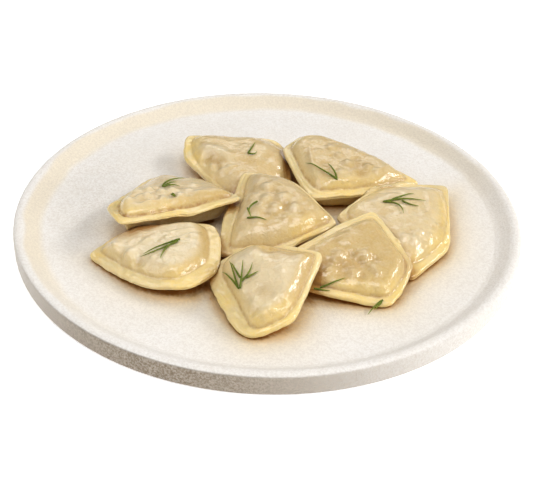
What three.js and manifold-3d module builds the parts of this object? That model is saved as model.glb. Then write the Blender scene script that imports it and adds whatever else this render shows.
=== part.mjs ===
// Pierogi dumplings on their plate: a stoneware disc, eight boiled dumplings lying on it and on each other, and dill.
// Millimetres, +Z up, the origin in the middle of the plate's underside.
import * as THREE from "three";
import Module from "manifold-3d";

const wasm = await Module();
wasm.setup();
const group = new THREE.Group();

// ---------------------------------------------------------------- sizes
const PLATE = { radius: 130, height: 10.5, floor: 5, segments: 60 };
const DOUGH = { sheet: 2.4, corner: 4, crease: 5, liftReach: 17, flangeWave: 0.35 };
const GAP = 0.3; // between any two pieces that lie on each other
const RAYS = 36;
const DILL = { thickness: 0.9, sag: 0.4 }; // `sag`: how steeply a needle may hang down

// ---------------------------------------------------------------- mesh helpers
const toRad = THREE.MathUtils.degToRad;

/** A three.js geometry from corner points and triangles. */
function geometryOf(points, triangles) {
  const g = new THREE.BufferGeometry();
  g.setAttribute("position", new THREE.Float32BufferAttribute(points.flat(), 3));
  g.setIndex(triangles.flat());
  g.computeVertexNormals();
  return g;
}

/** Closed rings of equal size joined into a skin, with a point to close each end. */
function skin(rings, first, last) {
  const n = rings[0].length;
  const points = rings.flat().concat([first, last]);
  const a = rings.length * n;
  const triangles = [];
  for (let j = 0; j < n; j++) {
    const k = (j + 1) % n;
    triangles.push([a, j, k]);
    for (let i = 0; i + 1 < rings.length; i++) {
      const [p, q] = [i * n + j, i * n + k];
      triangles.push([p, p + n, q + n], [p, q + n, q]);
    }
    const e = (rings.length - 1) * n;
    triangles.push([a + 1, e + k, e + j]);
  }
  return { points, triangles };
}

const solid = ({ points, triangles }) =>
  new wasm.Manifold(
    new wasm.Mesh({
      numProp: 3,
      vertProperties: new Float32Array(points.flat()),
      triVerts: new Uint32Array(triangles.flat()),
    }),
  );

/** A manifold solid back as corner points and triangles. */
function facets(made) {
  const m = made.getMesh();
  const points = [];
  const triangles = [];
  for (let i = 0; i < m.numVert; i++)
    points.push(Array.from(m.vertProperties.subarray(i * m.numProp, i * m.numProp + 3)));
  for (let i = 0; i < m.triVerts.length; i += 3) triangles.push(Array.from(m.triVerts.subarray(i, i + 3)));
  return { points, triangles };
}

const finish = {
  stoneware: new THREE.MeshStandardMaterial({ color: 0xe6ddd0, roughness: 0.75 }),
  dough: new THREE.MeshStandardMaterial({ color: 0xe3d2a2, roughness: 0.35 }),
  dill: new THREE.MeshStandardMaterial({ color: 0x4f6b26, roughness: 0.6 }),
};

function add(name, made, material) {
  const { points, triangles } = facets(made);
  const mesh = new THREE.Mesh(geometryOf(points, triangles), material);
  mesh.name = name;
  group.add(mesh);
}

// ---------------------------------------------------------------- plate
/** The plate's half section, from the middle of its floor over the rim and round to its foot: [radius, height]. */
function plateSection({ radius: r, height: h, floor: f }) {
  return [
    [r - 17, f], [r - 13, f + 0.2], [r - 10.6, f + 1.1], [r - 8.2, f + 2.8], [r - 5.8, h - 0.9], [r - 4.2, h - 0.15],
    [r - 3, h], [r - 1.6, h - 0.15], [r - 0.6, h - 0.7], [r - 0.1, h - 1.6], [r, h - 2.8],
    [r, 0.9], [r - 0.4, 0.2], [r - 1.4, 0], [r - 30, 0], [r - 31.5, 1.2],
  ];
}

function plate() {
  const rings = plateSection(PLATE).map(([r, z]) =>
    Array.from({ length: PLATE.segments }, (_, i) => {
      const a = (2 * Math.PI * i) / PLATE.segments;
      return [r * Math.cos(a), r * Math.sin(a), z];
    }),
  );
  return solid(skin(rings, [0, 0, PLATE.floor], [0, 0, 1.2]));
}

// ---------------------------------------------------------------- dumplings
// Each is two sheets of dough sealed round a filling. Its outline is a polygon with rounded corners; `flange` is the
// width of the flat sealed border at each side, `lift` how far each corner curls up or down, and `lumps` the bits of
// filling that show: [x, y, reach, height]; `dents` are nicks in the edge: [x, y, reach, depth]. `at` is its middle, z
// measured from the plate's floor, and it leans down by `lean[0]` degrees on the side that faces `lean[1]` degrees
// from +X.
const DUMPLINGS = {
  dumpling_back_left: {
    at: [-16, 36.9, 7.7], lean: [5, -95], seed: 1, wall: [5.4, 10.5], dome: 2, crease: 8,
    corners: [[-31.2, 24.5], [-31.1, 4], [0.3, -35.5], [28.4, -11.9], [25.6, 17.6], [17.1, 25.5]],
    flange: [4, 1.6, 1.5, 0.3, 2, 1.5], lift: [1, 0, 0, -3, -1, 0],
    lumps: [
      [-21.7, 5.1, 4.6, 1.1], [-16.4, 4.5, 4.6, 1.1], [-11.5, 2.9, 4.6, 1.1], [-17.7, -2.2, 4, -1.4], [-12.1, -4.9, 3.4, -1],
      [-9.2, -13.5, 2.4, 1],
    ],
  },
  dumpling_back_right: {
    at: [38.4, 28.8, 11], lean: [3, -90], seed: 2, wall: [5.4, 7.6], dome: 2, crease: 6, belly: [9, 3],
    corners: [[-21.1, 32.7], [-32.2, 15.2], [-16.7, -26.2], [14, -22], [42.6, -8.2], [-0.5, 28.7]],
    flange: [3, 4, 4.2, 3.4, 1.8, 1.2], lift: [0, 2.5, 0, 1, -1, 0],
    lumps: [[9.5, -5.1, 8, -0.8], [3, -2.8, 2.7, 1.3], [13.7, -5.9, 2.6, 1.1]],
  },
  dumpling_right: {
    at: [68.9, -14.2, 6.2], lean: [7, -45], seed: 3, wall: [5.2, 11], dome: 2, crease: 8,
    corners: [[0.8, -41.2], [22.5, -15.4], [26.7, 37.5], [-11.9, 29.4], [-35, 0.5]],
    flange: [4, 1.8, 3, 2, 4], lift: [0, 0, 0, 1, 1],
    lumps: [[-32.5, -0.7, 2.6, 1.1], [-2.3, -17.8, 2.6, 1], [-10.8, 0.2, 4.5, -0.5]],
  },
  dumpling_front_right: {
    at: [42.8, -50.9, 8.6], lean: [15, -75], seed: 8, wall: [4.9, 6.6], dome: 0.9, belly: [6.8, 8],
    corners: [
      [-25.2, -18.7], [-2.2, -24], [15.1, -25.4], [21.6, -18], [28.4, 1.5], [10.2, 35.9],
      [-29.9, 7.5],
    ],
    flange: [2.6, 3.9, 2, 2.4, 3.8, 4.1, 3.4], lift: [0, 0, 0, 0, 0, -0.5, -2],
    lumps: [
      [-2.9, -7.1, 9, -1.1], [-8.7, -0.4, 3, 1.5], [3, 0.5, 3.2, 1.5], [-1.8, -10.4, 3, 1.3], [7.1, -6.6, 2.8, 1.2],
      [-12.8, -10, 2.8, 1],
    ],
  },
  dumpling_centre: {
    at: [-1.4, -14.9, 13.9], lean: [9, -105], seed: 5, wall: [6.2, 9], dome: 2, belly: [9.4, 9],
    corners: [[-12.3, 31.7], [-18.1, 15.3], [-23.6, -28.5], [3.8, -30.5], [36.8, -10.8], [13.4, 22.8]],
    flange: [3.5, 6, 3, 2, 1.5, 2], lift: [0, -5, -4, -2.5, 0, 0],
    lumps: [[6.6, -4.2, 8, -0.8], [0.5, 10.2, 3, 1.3], [8.8, 0.4, 3.2, 1.5], [5.1, -6.5, 3.1, 1.5], [14.4, -7.1, 3, 1.3]],
  },
  dumpling_front: {
    at: [-2, -73.6, 10], lean: [17, -122], seed: 7, wall: [5.7, 7.8], dome: 2, belly: [6.6, 8],
    corners: [
      [-25.8, 6.6], [-17.9, -12.6], [-11.4, -24.5], [-6.3, -28.8], [-3.1, -29.1], [15.4, -20.9],
      [29.8, 16.9], [-5.8, 27.2], [-15, 22.8], [-26.9, 17.7],
    ],
    dents: [[3, 24, 8, 3.2]],
    flange: [7.5, 4.5, 2, 1.2, 2.7, 2.6, 2.2, 1.5, 1.5, 3.9], lift: [-2, -1, 0, 0, 0, 0, 0.5, 1.2, 0, -3],
    lumps: [[1.4, -7.8, 5, -0.6], [-4.3, 12.6, 4, 0.5], [1.6, -20.8, 2, 1], [5, 19, 5, -2.4], [15, 16, 6, -1.4]],
  },
  dumpling_front_left: {
    at: [-49.8, -46.7, 6], lean: [7, 190], seed: 6, wall: [4.8, 6.8], dome: 2,
    corners: [
      [-38.6, 5], [-24.1, -10.5], [-9.3, -22.1], [3.4, -26.3], [14.7, -26.9], [22.5, -20.4],
      [28.3, -12.2], [26.9, 17], [23.2, 23.9], [-18.5, 24.7],
    ],
    flange: [3.6, 4.6, 4, 4.6, 6.2, 6, 5.1, 4.8, 1, 2.5], lift: [0, 0, 0, 0, 0, 0, 0, 0, 0, 0],
    lumps: [[-24.3, 1.2, 3.8, 2], [-15, -4.3, 3.4, 1.6], [-17.2, -7.6, 3.2, 1.5], [-20.4, -4.2, 2, -1.5], [-10.6, -9.9, 2.6, -1.1]],
  },
  dumpling_left: {
    at: [-50.8, -6.2, 12.1], lean: [10, 97], seed: 4, wall: [4.2, 5.8], dome: 1.8, belly: [8.5, 3.5],
    corners: [[-30.8, -9.6], [-21.3, -29.3], [37.8, -5], [21.9, 21], [-10.4, 31.4]],
    flange: [4, 4.3, 3, 3, 4], lift: [0, 0, 3, 0, 0],
    lumps: [[-19.1, -13.6, 2.9, 1.5], [-10.1, -1.1, 2.5, 1.3], [-10.1, -8.2, 2.2, 1.2], [-3, -3.9, 2.4, 1.2]],
  },
};

/** How far (x, y) lies inside the polygon, each side moved in by its own `flange`, with corners rounded by `round`. */
function inset(x, y, corners, round, flange) {
  const k = 2.367 / round;
  const d = corners.map(([ax, ay], i) => {
    const [bx, by] = corners[(i + 1) % corners.length];
    const length = Math.hypot(bx - ax, by - ay);
    return ((bx - ax) * (y - ay) - (by - ay) * (x - ax)) / length - (flange ? flange[i] : 0);
  });
  const least = Math.min(...d);
  return least - Math.log(d.reduce((s, v) => s + Math.exp(-k * (v - least)), 0)) / k;
}

/** The distance along direction `a` at which the inset has come down to `level`. */
function reach(a, corners, round, flange, level) {
  let [near, far] = [0, 90];
  for (let i = 0; i < 36; i++) {
    const r = (near + far) / 2;
    if (inset(r * Math.cos(a), r * Math.sin(a), corners, round, flange) > level) near = r;
    else far = r;
  }
  return (near + far) / 2;
}

/** The outline's distance `r` along direction `a`, less the dents in the edge. */
function nicked(d, a, r) {
  const [x, y] = [r * Math.cos(a), r * Math.sin(a)];
  return (d.dents ?? []).reduce((s, [nx, ny, size, deep]) => s - deep * Math.exp(-((x - nx) ** 2 + (y - ny) ** 2) / size ** 2), r);
}

/** Directions to points spread round the outline, closer together where it turns. */
function directions(corners, count, turnWeight = 14) {
  const fine = 720;
  const at = (i) => {
    const a = (2 * Math.PI * i) / fine;
    const r = reach(a, corners, DOUGH.corner, null, 0);
    return [r * Math.cos(a), r * Math.sin(a)];
  };
  const p = Array.from({ length: fine + 2 }, (_, i) => at(i));
  const heading = (i) => Math.atan2(p[i + 1][1] - p[i][1], p[i + 1][0] - p[i][0]);
  const cost = [0];
  for (let i = 0; i < fine; i++) {
    const turn = Math.abs(((heading(i + 1 > fine ? 0 : i + 1) - heading(i) + 3 * Math.PI) % (2 * Math.PI)) - Math.PI);
    cost.push(cost[i] + Math.hypot(p[i + 1][0] - p[i][0], p[i + 1][1] - p[i][1]) + turnWeight * turn);
  }
  const out = [];
  for (let j = 0, i = 0; j < count; j++) {
    const want = (cost[fine] * j) / count;
    while (cost[i + 1] < want) i++;
    out.push((2 * Math.PI * (i + (want - cost[i]) / (cost[i + 1] - cost[i]))) / fine);
  }
  return out;
}

/** A filled pillow's height at `v` inside its crease: a wall that rises over `run` and a gentle dome. */
function pillow(v, height, run, dome, p, q) {
  if (v <= 0) return 0;
  const s = Math.min(v / run, 1);
  return height * (1 - (1 - s) ** p) ** q + dome * (1 - Math.exp(-v / 9));
}

/** The dumpling's top and underside at (x, y) of its own sheet plane. */
function sheet(d, x, y) {
  const u = inset(x, y, d.corners, DOUGH.corner, null);
  const v = inset(x, y, d.corners, d.crease ?? DOUGH.crease, d.flange);
  const rim = Math.min(Math.max(u / 0.9, 0), 1);
  const half = (DOUGH.sheet / 2) * (0.45 + 0.55 * Math.sqrt(1 - (1 - rim) ** 2));
  let top = pillow(v, ...d.wall, d.dome, 2.2, 0.6);
  const under = pillow(v, ...(d.belly ?? [4.2, 8]), 1.4, 1.6, 1);
  for (const [lx, ly, r, h] of d.lumps)
    top += h * Math.exp(-((x - lx) ** 2 + (y - ly) ** 2) / (r * r)) * Math.min(Math.max(v / 2.5, 0), 1);
  let bend = 0;
  d.corners.forEach(([cx, cy], i) => {
    bend += d.lift[i] * Math.exp(-((x - cx) ** 2 + (y - cy) ** 2) / DOUGH.liftReach ** 2);
  });
  const a = Math.atan2(y, x);
  for (const k of [3, 5, 8])
    bend += ((DOUGH.flangeWave * Math.exp(-Math.max(u, 0) / 4)) / Math.sqrt(k)) * Math.sin(k * a + 1.7 * d.seed * k);
  return [half + top + bend, -half - under + bend];
}

/** The lean as a rotation: the side that faces `toward` degrees goes down. */
function leanMatrix([lean, toward]) {
  const a = toRad(toward);
  return new THREE.Matrix4().makeRotationAxis(new THREE.Vector3(-Math.sin(a), Math.cos(a), 0), toRad(lean));
}

function dumpling(d) {
  const angles = directions(d.corners, RAYS);
  const edge = angles.map((a) => nicked(d, a, reach(a, d.corners, DOUGH.corner, null, 0)));
  const round = d.crease ?? DOUGH.crease;
  const crease = angles.map((a, j) => Math.min(reach(a, d.corners, round, d.flange, 0), edge[j] - 0.8));
  const middle = inset(0, 0, d.corners, round, d.flange);
  const radii = [];
  for (const f of [0, 0.2, 0.7, 1]) radii.push(edge.map((e, j) => e + (crease[j] - e) * f));
  for (const level of [0.8, 2.2, 4.2])
    if (level < middle - 3)
      radii.push(
        angles.map((a, j) => Math.min(reach(a, d.corners, round, d.flange, level), crease[j] - 0.8 * level)),
      );
  const wallTop = radii[radii.length - 1];
  for (const f of [0.82, 0.65, 0.48, 0.31, 0.15]) radii.push(wallTop.map((r) => r * f));

  const place = new THREE.Matrix4().makeTranslation(d.at[0], d.at[1], d.at[2] + PLATE.floor).multiply(leanMatrix(d.lean));
  const world = (x, y, z, low) => {
    const p = new THREE.Vector3(x, y, z).applyMatrix4(place);
    return [p.x, p.y, low ? Math.max(p.z, PLATE.floor + GAP) : p.z];
  };
  const ring = (r, side) =>
    r.map((s, j) => {
      const [x, y] = [s * Math.cos(angles[j]), s * Math.sin(angles[j])];
      return world(x, y, sheet(d, x, y)[side], side === 1);
    });
  const tops = radii.map((r) => ring(r, 0)).reverse();
  const unders = [0, 3, 5, 7, 9].map((i) => ring(radii[i], 1));
  const [top, under] = sheet(d, 0, 0);
  return solid(skin([...tops, ...unders], world(0, 0, top), world(0, 0, under, true)));
}

/** The solid made a little larger all round and moved by `up`, so that what is cut by it keeps a gap to the solid. */
function grown(made, gap, up) {
  const { min, max } = made.boundingBox();
  const mid = min.map((v, i) => (v + max[i]) / 2);
  const scale = min.map((v, i) => 1 + (2.2 * gap) / (max[i] - v));
  return made
    .translate(mid.map((v) => -v))
    .scale(scale)
    .translate([mid[0], mid[1], mid[2] + up]);
}

const laid = {};
for (const [name, d] of Object.entries(DUMPLINGS)) {
  let made = dumpling(d);
  for (const lower of Object.values(laid))
    for (const up of [GAP / 2, -GAP / 2]) made = made.subtract(grown(lower, GAP, up));
  laid[name] = made.decompose().sort((a, b) => b.volume() - a.volume())[0];
}

// ---------------------------------------------------------------- dill
// A sprig starts at `at`, [x, y], and lies on the dumpling `on`. Its needles are [dx, dy, heading, length, bow]: where the needle starts from
// the sprig's own start, its direction in degrees, how long it is, and how far its middle bows to the left.
const SPRIGS = {
  dill_back_left: {
    on: "dumpling_back_left", at: [-11.7, 36.5],
    needles: [[0, 0, 72, 11.7, -0.1], [0, 0, 30, 5.5, -1.9]],
  },
  dill_back_right: {
    on: "dumpling_back_right", at: [35.4, 11.1],
    needles: [[0, 0, 137, 22.3, -0.1], [0, 0, 109, 14.2, -0.7]],
  },
  dill_right: {
    on: "dumpling_right", at: [58.3, -7],
    needles: [[0, 0, 11, 22.9, 1.3], [4.7, 2.1, 29, 13.5, 0.4], [9.8, 1.9, -16, 8.9, -1.1], [0, 0, -42, 13.1, 4.1]],
  },
  dill_left: {
    on: "dumpling_left", at: [-54.1, -3.1],
    needles: [[0, 0, 48, 15.7, 2.9], [1.2, 0.6, 45, 7.6, 1.2], [0.6, -0.7, 16, 8.5, 1.7]],
  },
  dill_left_scrap: {
    on: "dumpling_left", at: [-49, -11.3],
    needles: [[0, 0, -61, 4.3, 0.3], [0.8, 0.3, -61, 3.6, 0]],
  },
  dill_centre: {
    on: "dumpling_centre", at: [-5.4, -18.9],
    needles: [[0, 0, -102, 11.1, -2.8], [-4.8, -3.4, -70, 4.9, -0.2], [-4.8, -10.6, -11, 10, 0.2]],
  },
  dill_front_left: {
    on: "dumpling_front_left", at: [-41.9, -44.8],
    needles: [[0, 0, -153, 19.1, -0.6], [-0.9, -1, -153, 19.6, 1.1], [-3.6, -2.6, -114, 11.8, -1]],
  },
  dill_front: {
    on: "dumpling_front", at: [-11.7, -79.8],
    needles: [
      [0, 0, 87, 14.2, -0.1], [-0.7, 0.5, 117, 18.7, -0.3], [-1, 1, 106, 17, 0],
      [-0.2, 5.5, 116, 10.3, 0.1], [0.3, 3.3, 60, 9.8, -1], [2.5, 4.6, 15, 5.8, 0],
    ],
  },
  dill_front_right: {
    on: "dumpling_front_right", at: [25.3, -69.5],
    needles: [[0, 0, 18, 12.4, -0.5], [-2.8, -0.3, -6, 7.5, -0.3]],
  },
  dill_edge: {
    on: "dumpling_front_right", at: [54.7, -73.3],
    needles: [[0, 0, -137, 9.9, -0.5], [-0.5, -0.8, -135, 5.1, 0.1]],
  },
};

// What can lie under a sprig, as meshes that a ray from above can meet.
const ground = {};
for (const [name, made] of Object.entries(laid)) {
  const { points, triangles } = facets(made);
  ground[name] = new THREE.Mesh(geometryOf(points, triangles));
}
const plumb = new THREE.Raycaster();
function topAt(x, y, on) {
  plumb.set(new THREE.Vector3(x, y, 100), new THREE.Vector3(0, 0, -1));
  const hits = plumb.intersectObject(ground[on]);
  return Math.max(PLATE.floor, hits.length ? hits[0].point.z : PLATE.floor);
}

/** One needle: a thin stiff tapered rod that lies on the high places under it and bridges the hollows. */
function needle({ at: [sx, sy], on }, [dx, dy, heading, length, bow]) {
  const a = toRad(heading);
  const half = DILL.thickness / 2;
  const steps = Math.max(2, Math.round(length / 3.2));
  const spine = Array.from({ length: steps + 1 }, (_, i) => {
    const s = i / steps;
    const side = 4 * bow * s * (1 - s);
    const x = sx + dx + Math.cos(a) * length * s - Math.sin(a) * side;
    const y = sy + dy + Math.sin(a) * length * s + Math.cos(a) * side;
    return [x, y, Math.max(...[-0.7, 0, 0.7].flatMap((e) => [topAt(x + e, y, on), topAt(x, y + e, on)])) + half + GAP];
  });
  const bridged = spine.map(([, , z], i) => {
    let most = z;
    for (let p = 0; p < i; p++)
      for (let q = i + 1; q <= steps; q++)
        most = Math.max(most, spine[p][2] + ((spine[q][2] - spine[p][2]) * (i - p)) / (q - p));
    return most;
  });
  for (let i = 1; i <= steps; i++) bridged[i] = Math.max(bridged[i], bridged[i - 1] - (DILL.sag * length) / steps);
  bridged.forEach((z, i) => (spine[i][2] = z));
  const rings = spine.map(([x, y, z], i) => {
    const w = half * (1 - 0.45 * (i / steps));
    const across = [-Math.sin(a) * w, Math.cos(a) * w];
    return [[-1, 0], [0, 1], [1, 0], [0, -1]].map(([c, h]) => [x + c * across[0], y + c * across[1], z + h * w]);
  });
  const [p, q] = [spine[0], spine[steps]];
  const cap = half * 0.6;
  return solid(
    skin(
      rings,
      [p[0] - Math.cos(a) * cap, p[1] - Math.sin(a) * cap, p[2]],
      [q[0] + Math.cos(a) * cap, q[1] + Math.sin(a) * cap, q[2]],
    ),
  );
}

add("plate", plate(), finish.stoneware);
for (const [name, made] of Object.entries(laid)) add(name, made, finish.dough);
for (const [name, s] of Object.entries(SPRIGS)) {
  let made = wasm.Manifold.union(s.needles.map((n) => needle(s, n)));
  for (const d of Object.values(laid)) made = made.subtract(grown(d, GAP / 2, GAP / 4));
  add(name, made.decompose().sort((a, b) => b.volume() - a.volume())[0], finish.dill);
}

export default group;
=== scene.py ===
"""Pierogi dumplings on their stoneware plate, with dill, in soft studio light.

The plate, eight boiled dumplings laid on it and on each other, and the sprigs of dill that lie on them. Sizes are in
millimetres up to the point where a mesh is made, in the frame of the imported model: +Z up, the origin in the middle of
the plate's underside.
"""

import logging
import math
from dataclasses import dataclass, field
from enum import Enum
from typing import Any

import bpy
import numpy as np
from mathutils import Matrix, Vector
from mathutils.bvhtree import BVHTree

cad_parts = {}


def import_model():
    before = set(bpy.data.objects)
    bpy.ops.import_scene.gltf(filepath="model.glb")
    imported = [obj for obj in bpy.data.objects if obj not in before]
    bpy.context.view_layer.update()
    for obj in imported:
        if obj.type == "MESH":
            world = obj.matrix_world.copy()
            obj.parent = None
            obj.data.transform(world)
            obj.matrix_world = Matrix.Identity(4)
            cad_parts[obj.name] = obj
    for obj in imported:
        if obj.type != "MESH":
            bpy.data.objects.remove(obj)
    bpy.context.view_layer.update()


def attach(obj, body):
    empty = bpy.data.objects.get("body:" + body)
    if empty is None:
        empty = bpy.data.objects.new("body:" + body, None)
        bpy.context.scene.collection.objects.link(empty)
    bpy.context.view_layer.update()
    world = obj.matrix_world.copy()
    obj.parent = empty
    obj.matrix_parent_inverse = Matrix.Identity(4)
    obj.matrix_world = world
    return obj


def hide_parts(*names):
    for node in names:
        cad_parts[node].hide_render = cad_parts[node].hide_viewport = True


LOG = logging.getLogger("pierogi")
MM = 0.001
GAP = 0.3  # mm between any two pieces that lie on each other
BODY = "root"

Colour = tuple[float, float, float, float]
Pair = tuple[float, float]
Spot = tuple[float, float, float]
Bump = tuple[float, float, float, float]


class Slot(Enum):
    """The record's material slots."""

    STONEWARE = "stoneware"
    DOUGH = "dough"
    DILL = "dill"


def screen(red: int, green: int, blue: int) -> Colour:
    """The linear colour of a screen colour.

    Args:
        red: The red channel, 0 to 255.
        green: The green channel, 0 to 255.
        blue: The blue channel, 0 to 255.

    Returns:
        The colour as shaders read it, with an alpha of 1.
    """
    channels = [v / 255 for v in (red, green, blue)]
    linear = [v / 12.92 if v <= 0.04045 else ((v + 0.055) / 1.055) ** 2.4 for v in channels]
    return (linear[0], linear[1], linear[2], 1.0)


# ------------------------------------------------------------------------------------------------ node trees
class Tree:
    """A node tree, with short calls for what the finishes and the Geometry Nodes here have in common."""

    def __init__(self, tree: bpy.types.NodeTree) -> None:
        """Wraps `tree`."""
        self.tree = tree

    def add(self, kind: str, inputs: dict[str, Any] | None = None, **settings: Any) -> bpy.types.Node:
        """Adds a node.

        Args:
            kind: The node's type name.
            inputs: What goes into its sockets, by name or identifier: a value, or another node's output.
            settings: The node's own properties.

        Returns:
            The node.
        """
        node = self.tree.nodes.new(kind)
        for name, value in settings.items():
            setattr(node, name, value)
        self.fit(node, inputs or {})
        return node

    def fit(self, node: bpy.types.Node, inputs: dict[str, Any]) -> None:
        """Puts values or other nodes' outputs into a node's sockets.

        Args:
            node: The node.
            inputs: What goes into each socket, which is found by its identifier or else by its name.
        """
        for key, value in inputs.items():
            found = [s for s in node.inputs if s.identifier == key]
            found += [s for s in node.inputs if s.name == key and s.enabled]
            if isinstance(value, bpy.types.NodeSocket):
                self.tree.links.new(value, found[0])
            else:
                found[0].default_value = value

    def sum(self, kind: str, a: Any, b: Any = 0.0, c: Any = 0.0, clamp: bool = False) -> bpy.types.NodeSocket:
        """A Math node of operation `kind` on up to three numbers or outputs."""
        node = self.add("ShaderNodeMath", {"Value": a, "Value_001": b, "Value_002": c}, operation=kind, use_clamp=clamp)
        return node.outputs[0]

    def blend(self, share: Any, a: Any, b: Any, how: str = "MIX") -> bpy.types.NodeSocket:
        """A colour mixed from `a` to `b` by `share`, in blend mode `how`."""
        inputs = {"Factor_Float": share, "A_Color": a, "B_Color": b}
        node = self.add("ShaderNodeMix", inputs, data_type="RGBA", blend_type=how)
        return next(s for s in node.outputs if s.identifier == "Result_Color")

    def noise(self, where: Any, grain: float, detail: float = 2.0, rough: float = 0.5, bend: float = 0.0) -> Any:
        """Noise from 0 to 1 with features about `grain` millimetres across."""
        inputs = {"Vector": where, "Scale": 1 / (grain * MM), "Detail": detail, "Roughness": rough, "Distortion": bend}
        return self.add("ShaderNodeTexNoise", inputs).outputs["Fac"]

    def span(self, value: Any, low: float, high: float, to_low: float = 0.0, to_high: float = 1.0) -> Any:
        """`value` eased from the range `low`..`high` to `to_low`..`to_high`, and held at the ends."""
        inputs = {"Value": value, "From Min": low, "From Max": high, "To Min": to_low, "To Max": to_high}
        return self.add("ShaderNodeMapRange", inputs, interpolation_type="SMOOTHSTEP").outputs["Result"]

    def bump(self, height: Any, depth: float, strength: float, under: Any = None) -> Any:
        """A bumped normal: `height` of 0 to 1 stands for `depth` millimetres, over the normal `under`."""
        inputs = {"Height": height, "Distance": depth * MM, "Strength": strength}
        if under is not None:
            inputs["Normal"] = under
        return self.add("ShaderNodeBump", inputs).outputs["Normal"]

    def attribute(self, name: str) -> Any:
        """The number that the mesh keeps under `name` at each point."""
        return self.add("ShaderNodeAttribute", attribute_name=name).outputs["Fac"]

    def place(self) -> Any:
        """Object coordinates, in metres."""
        return self.add("ShaderNodeTexCoord").outputs["Object"]


def new_material(name: str) -> tuple[bpy.types.Material, Tree, bpy.types.Node]:
    """A material with its node tree emptied down to one Principled shader.

    Args:
        name: The material's name.

    Returns:
        The material, its tree and the shader node.
    """
    material = bpy.data.materials.new(name)
    material.use_nodes = True
    tree = Tree(material.node_tree)
    return material, tree, material.node_tree.nodes["Principled BSDF"]


class Recipe:
    """A Geometry Nodes tree that makes one kind of piece, with named inputs for its sizes."""

    def __init__(self, name: str, **sockets: str) -> None:
        """Starts the tree.

        Args:
            name: The tree's name.
            sockets: The kind of each named input, such as `segments="NodeSocketInt"`.
        """
        self.group = bpy.data.node_groups.new(name, "GeometryNodeTree")
        face = self.group.interface
        face.new_socket("Geometry", in_out="INPUT", socket_type="NodeSocketGeometry")
        face.new_socket("Geometry", in_out="OUTPUT", socket_type="NodeSocketGeometry")
        self.keys = {n: face.new_socket(n, in_out="INPUT", socket_type=kind).identifier for n, kind in sockets.items()}
        self.tree = Tree(self.group)
        self.start = self.group.nodes.new("NodeGroupInput")

    def given(self, name: str) -> bpy.types.NodeSocket:
        """The output of the group's input `name`."""
        return next(s for s in self.start.outputs if s.name == name)

    def end(self, shape: Any, material: bpy.types.Material) -> None:
        """Ends the tree: the shape made real, shaded smooth and given its material."""
        smooth = self.tree.add("GeometryNodeSetShadeSmooth", {"Geometry": shape})
        real = self.tree.add("GeometryNodeRealizeInstances", {"Geometry": smooth.outputs[0]})
        dressed = self.tree.add("GeometryNodeSetMaterial", {"Geometry": real.outputs[0], "Material": material})
        out = self.group.nodes.new("NodeGroupOutput")
        self.group.links.new(dressed.outputs[0], out.inputs[0])

    def make(self, seed_mesh: bpy.types.Mesh, piece: str, **values: Any) -> bpy.types.Object:
        """Runs the tree on a mesh and keeps the result as a plain mesh.

        Args:
            seed_mesh: What the tree starts from.
            piece: The new object's name.
            values: The value of each named input.

        Returns:
            The object, with no modifier left on it.
        """
        made = bpy.data.objects.new(piece, seed_mesh)
        bpy.context.scene.collection.objects.link(made)
        modifier = made.modifiers.new("recipe", "NODES")
        modifier.node_group = self.group
        for name, value in values.items():
            modifier[self.keys[name]] = value
        evaluated = made.evaluated_get(bpy.context.evaluated_depsgraph_get())
        result = bpy.data.meshes.new_from_object(evaluated)
        made.modifiers.remove(modifier)
        made.data = result
        return made


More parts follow.
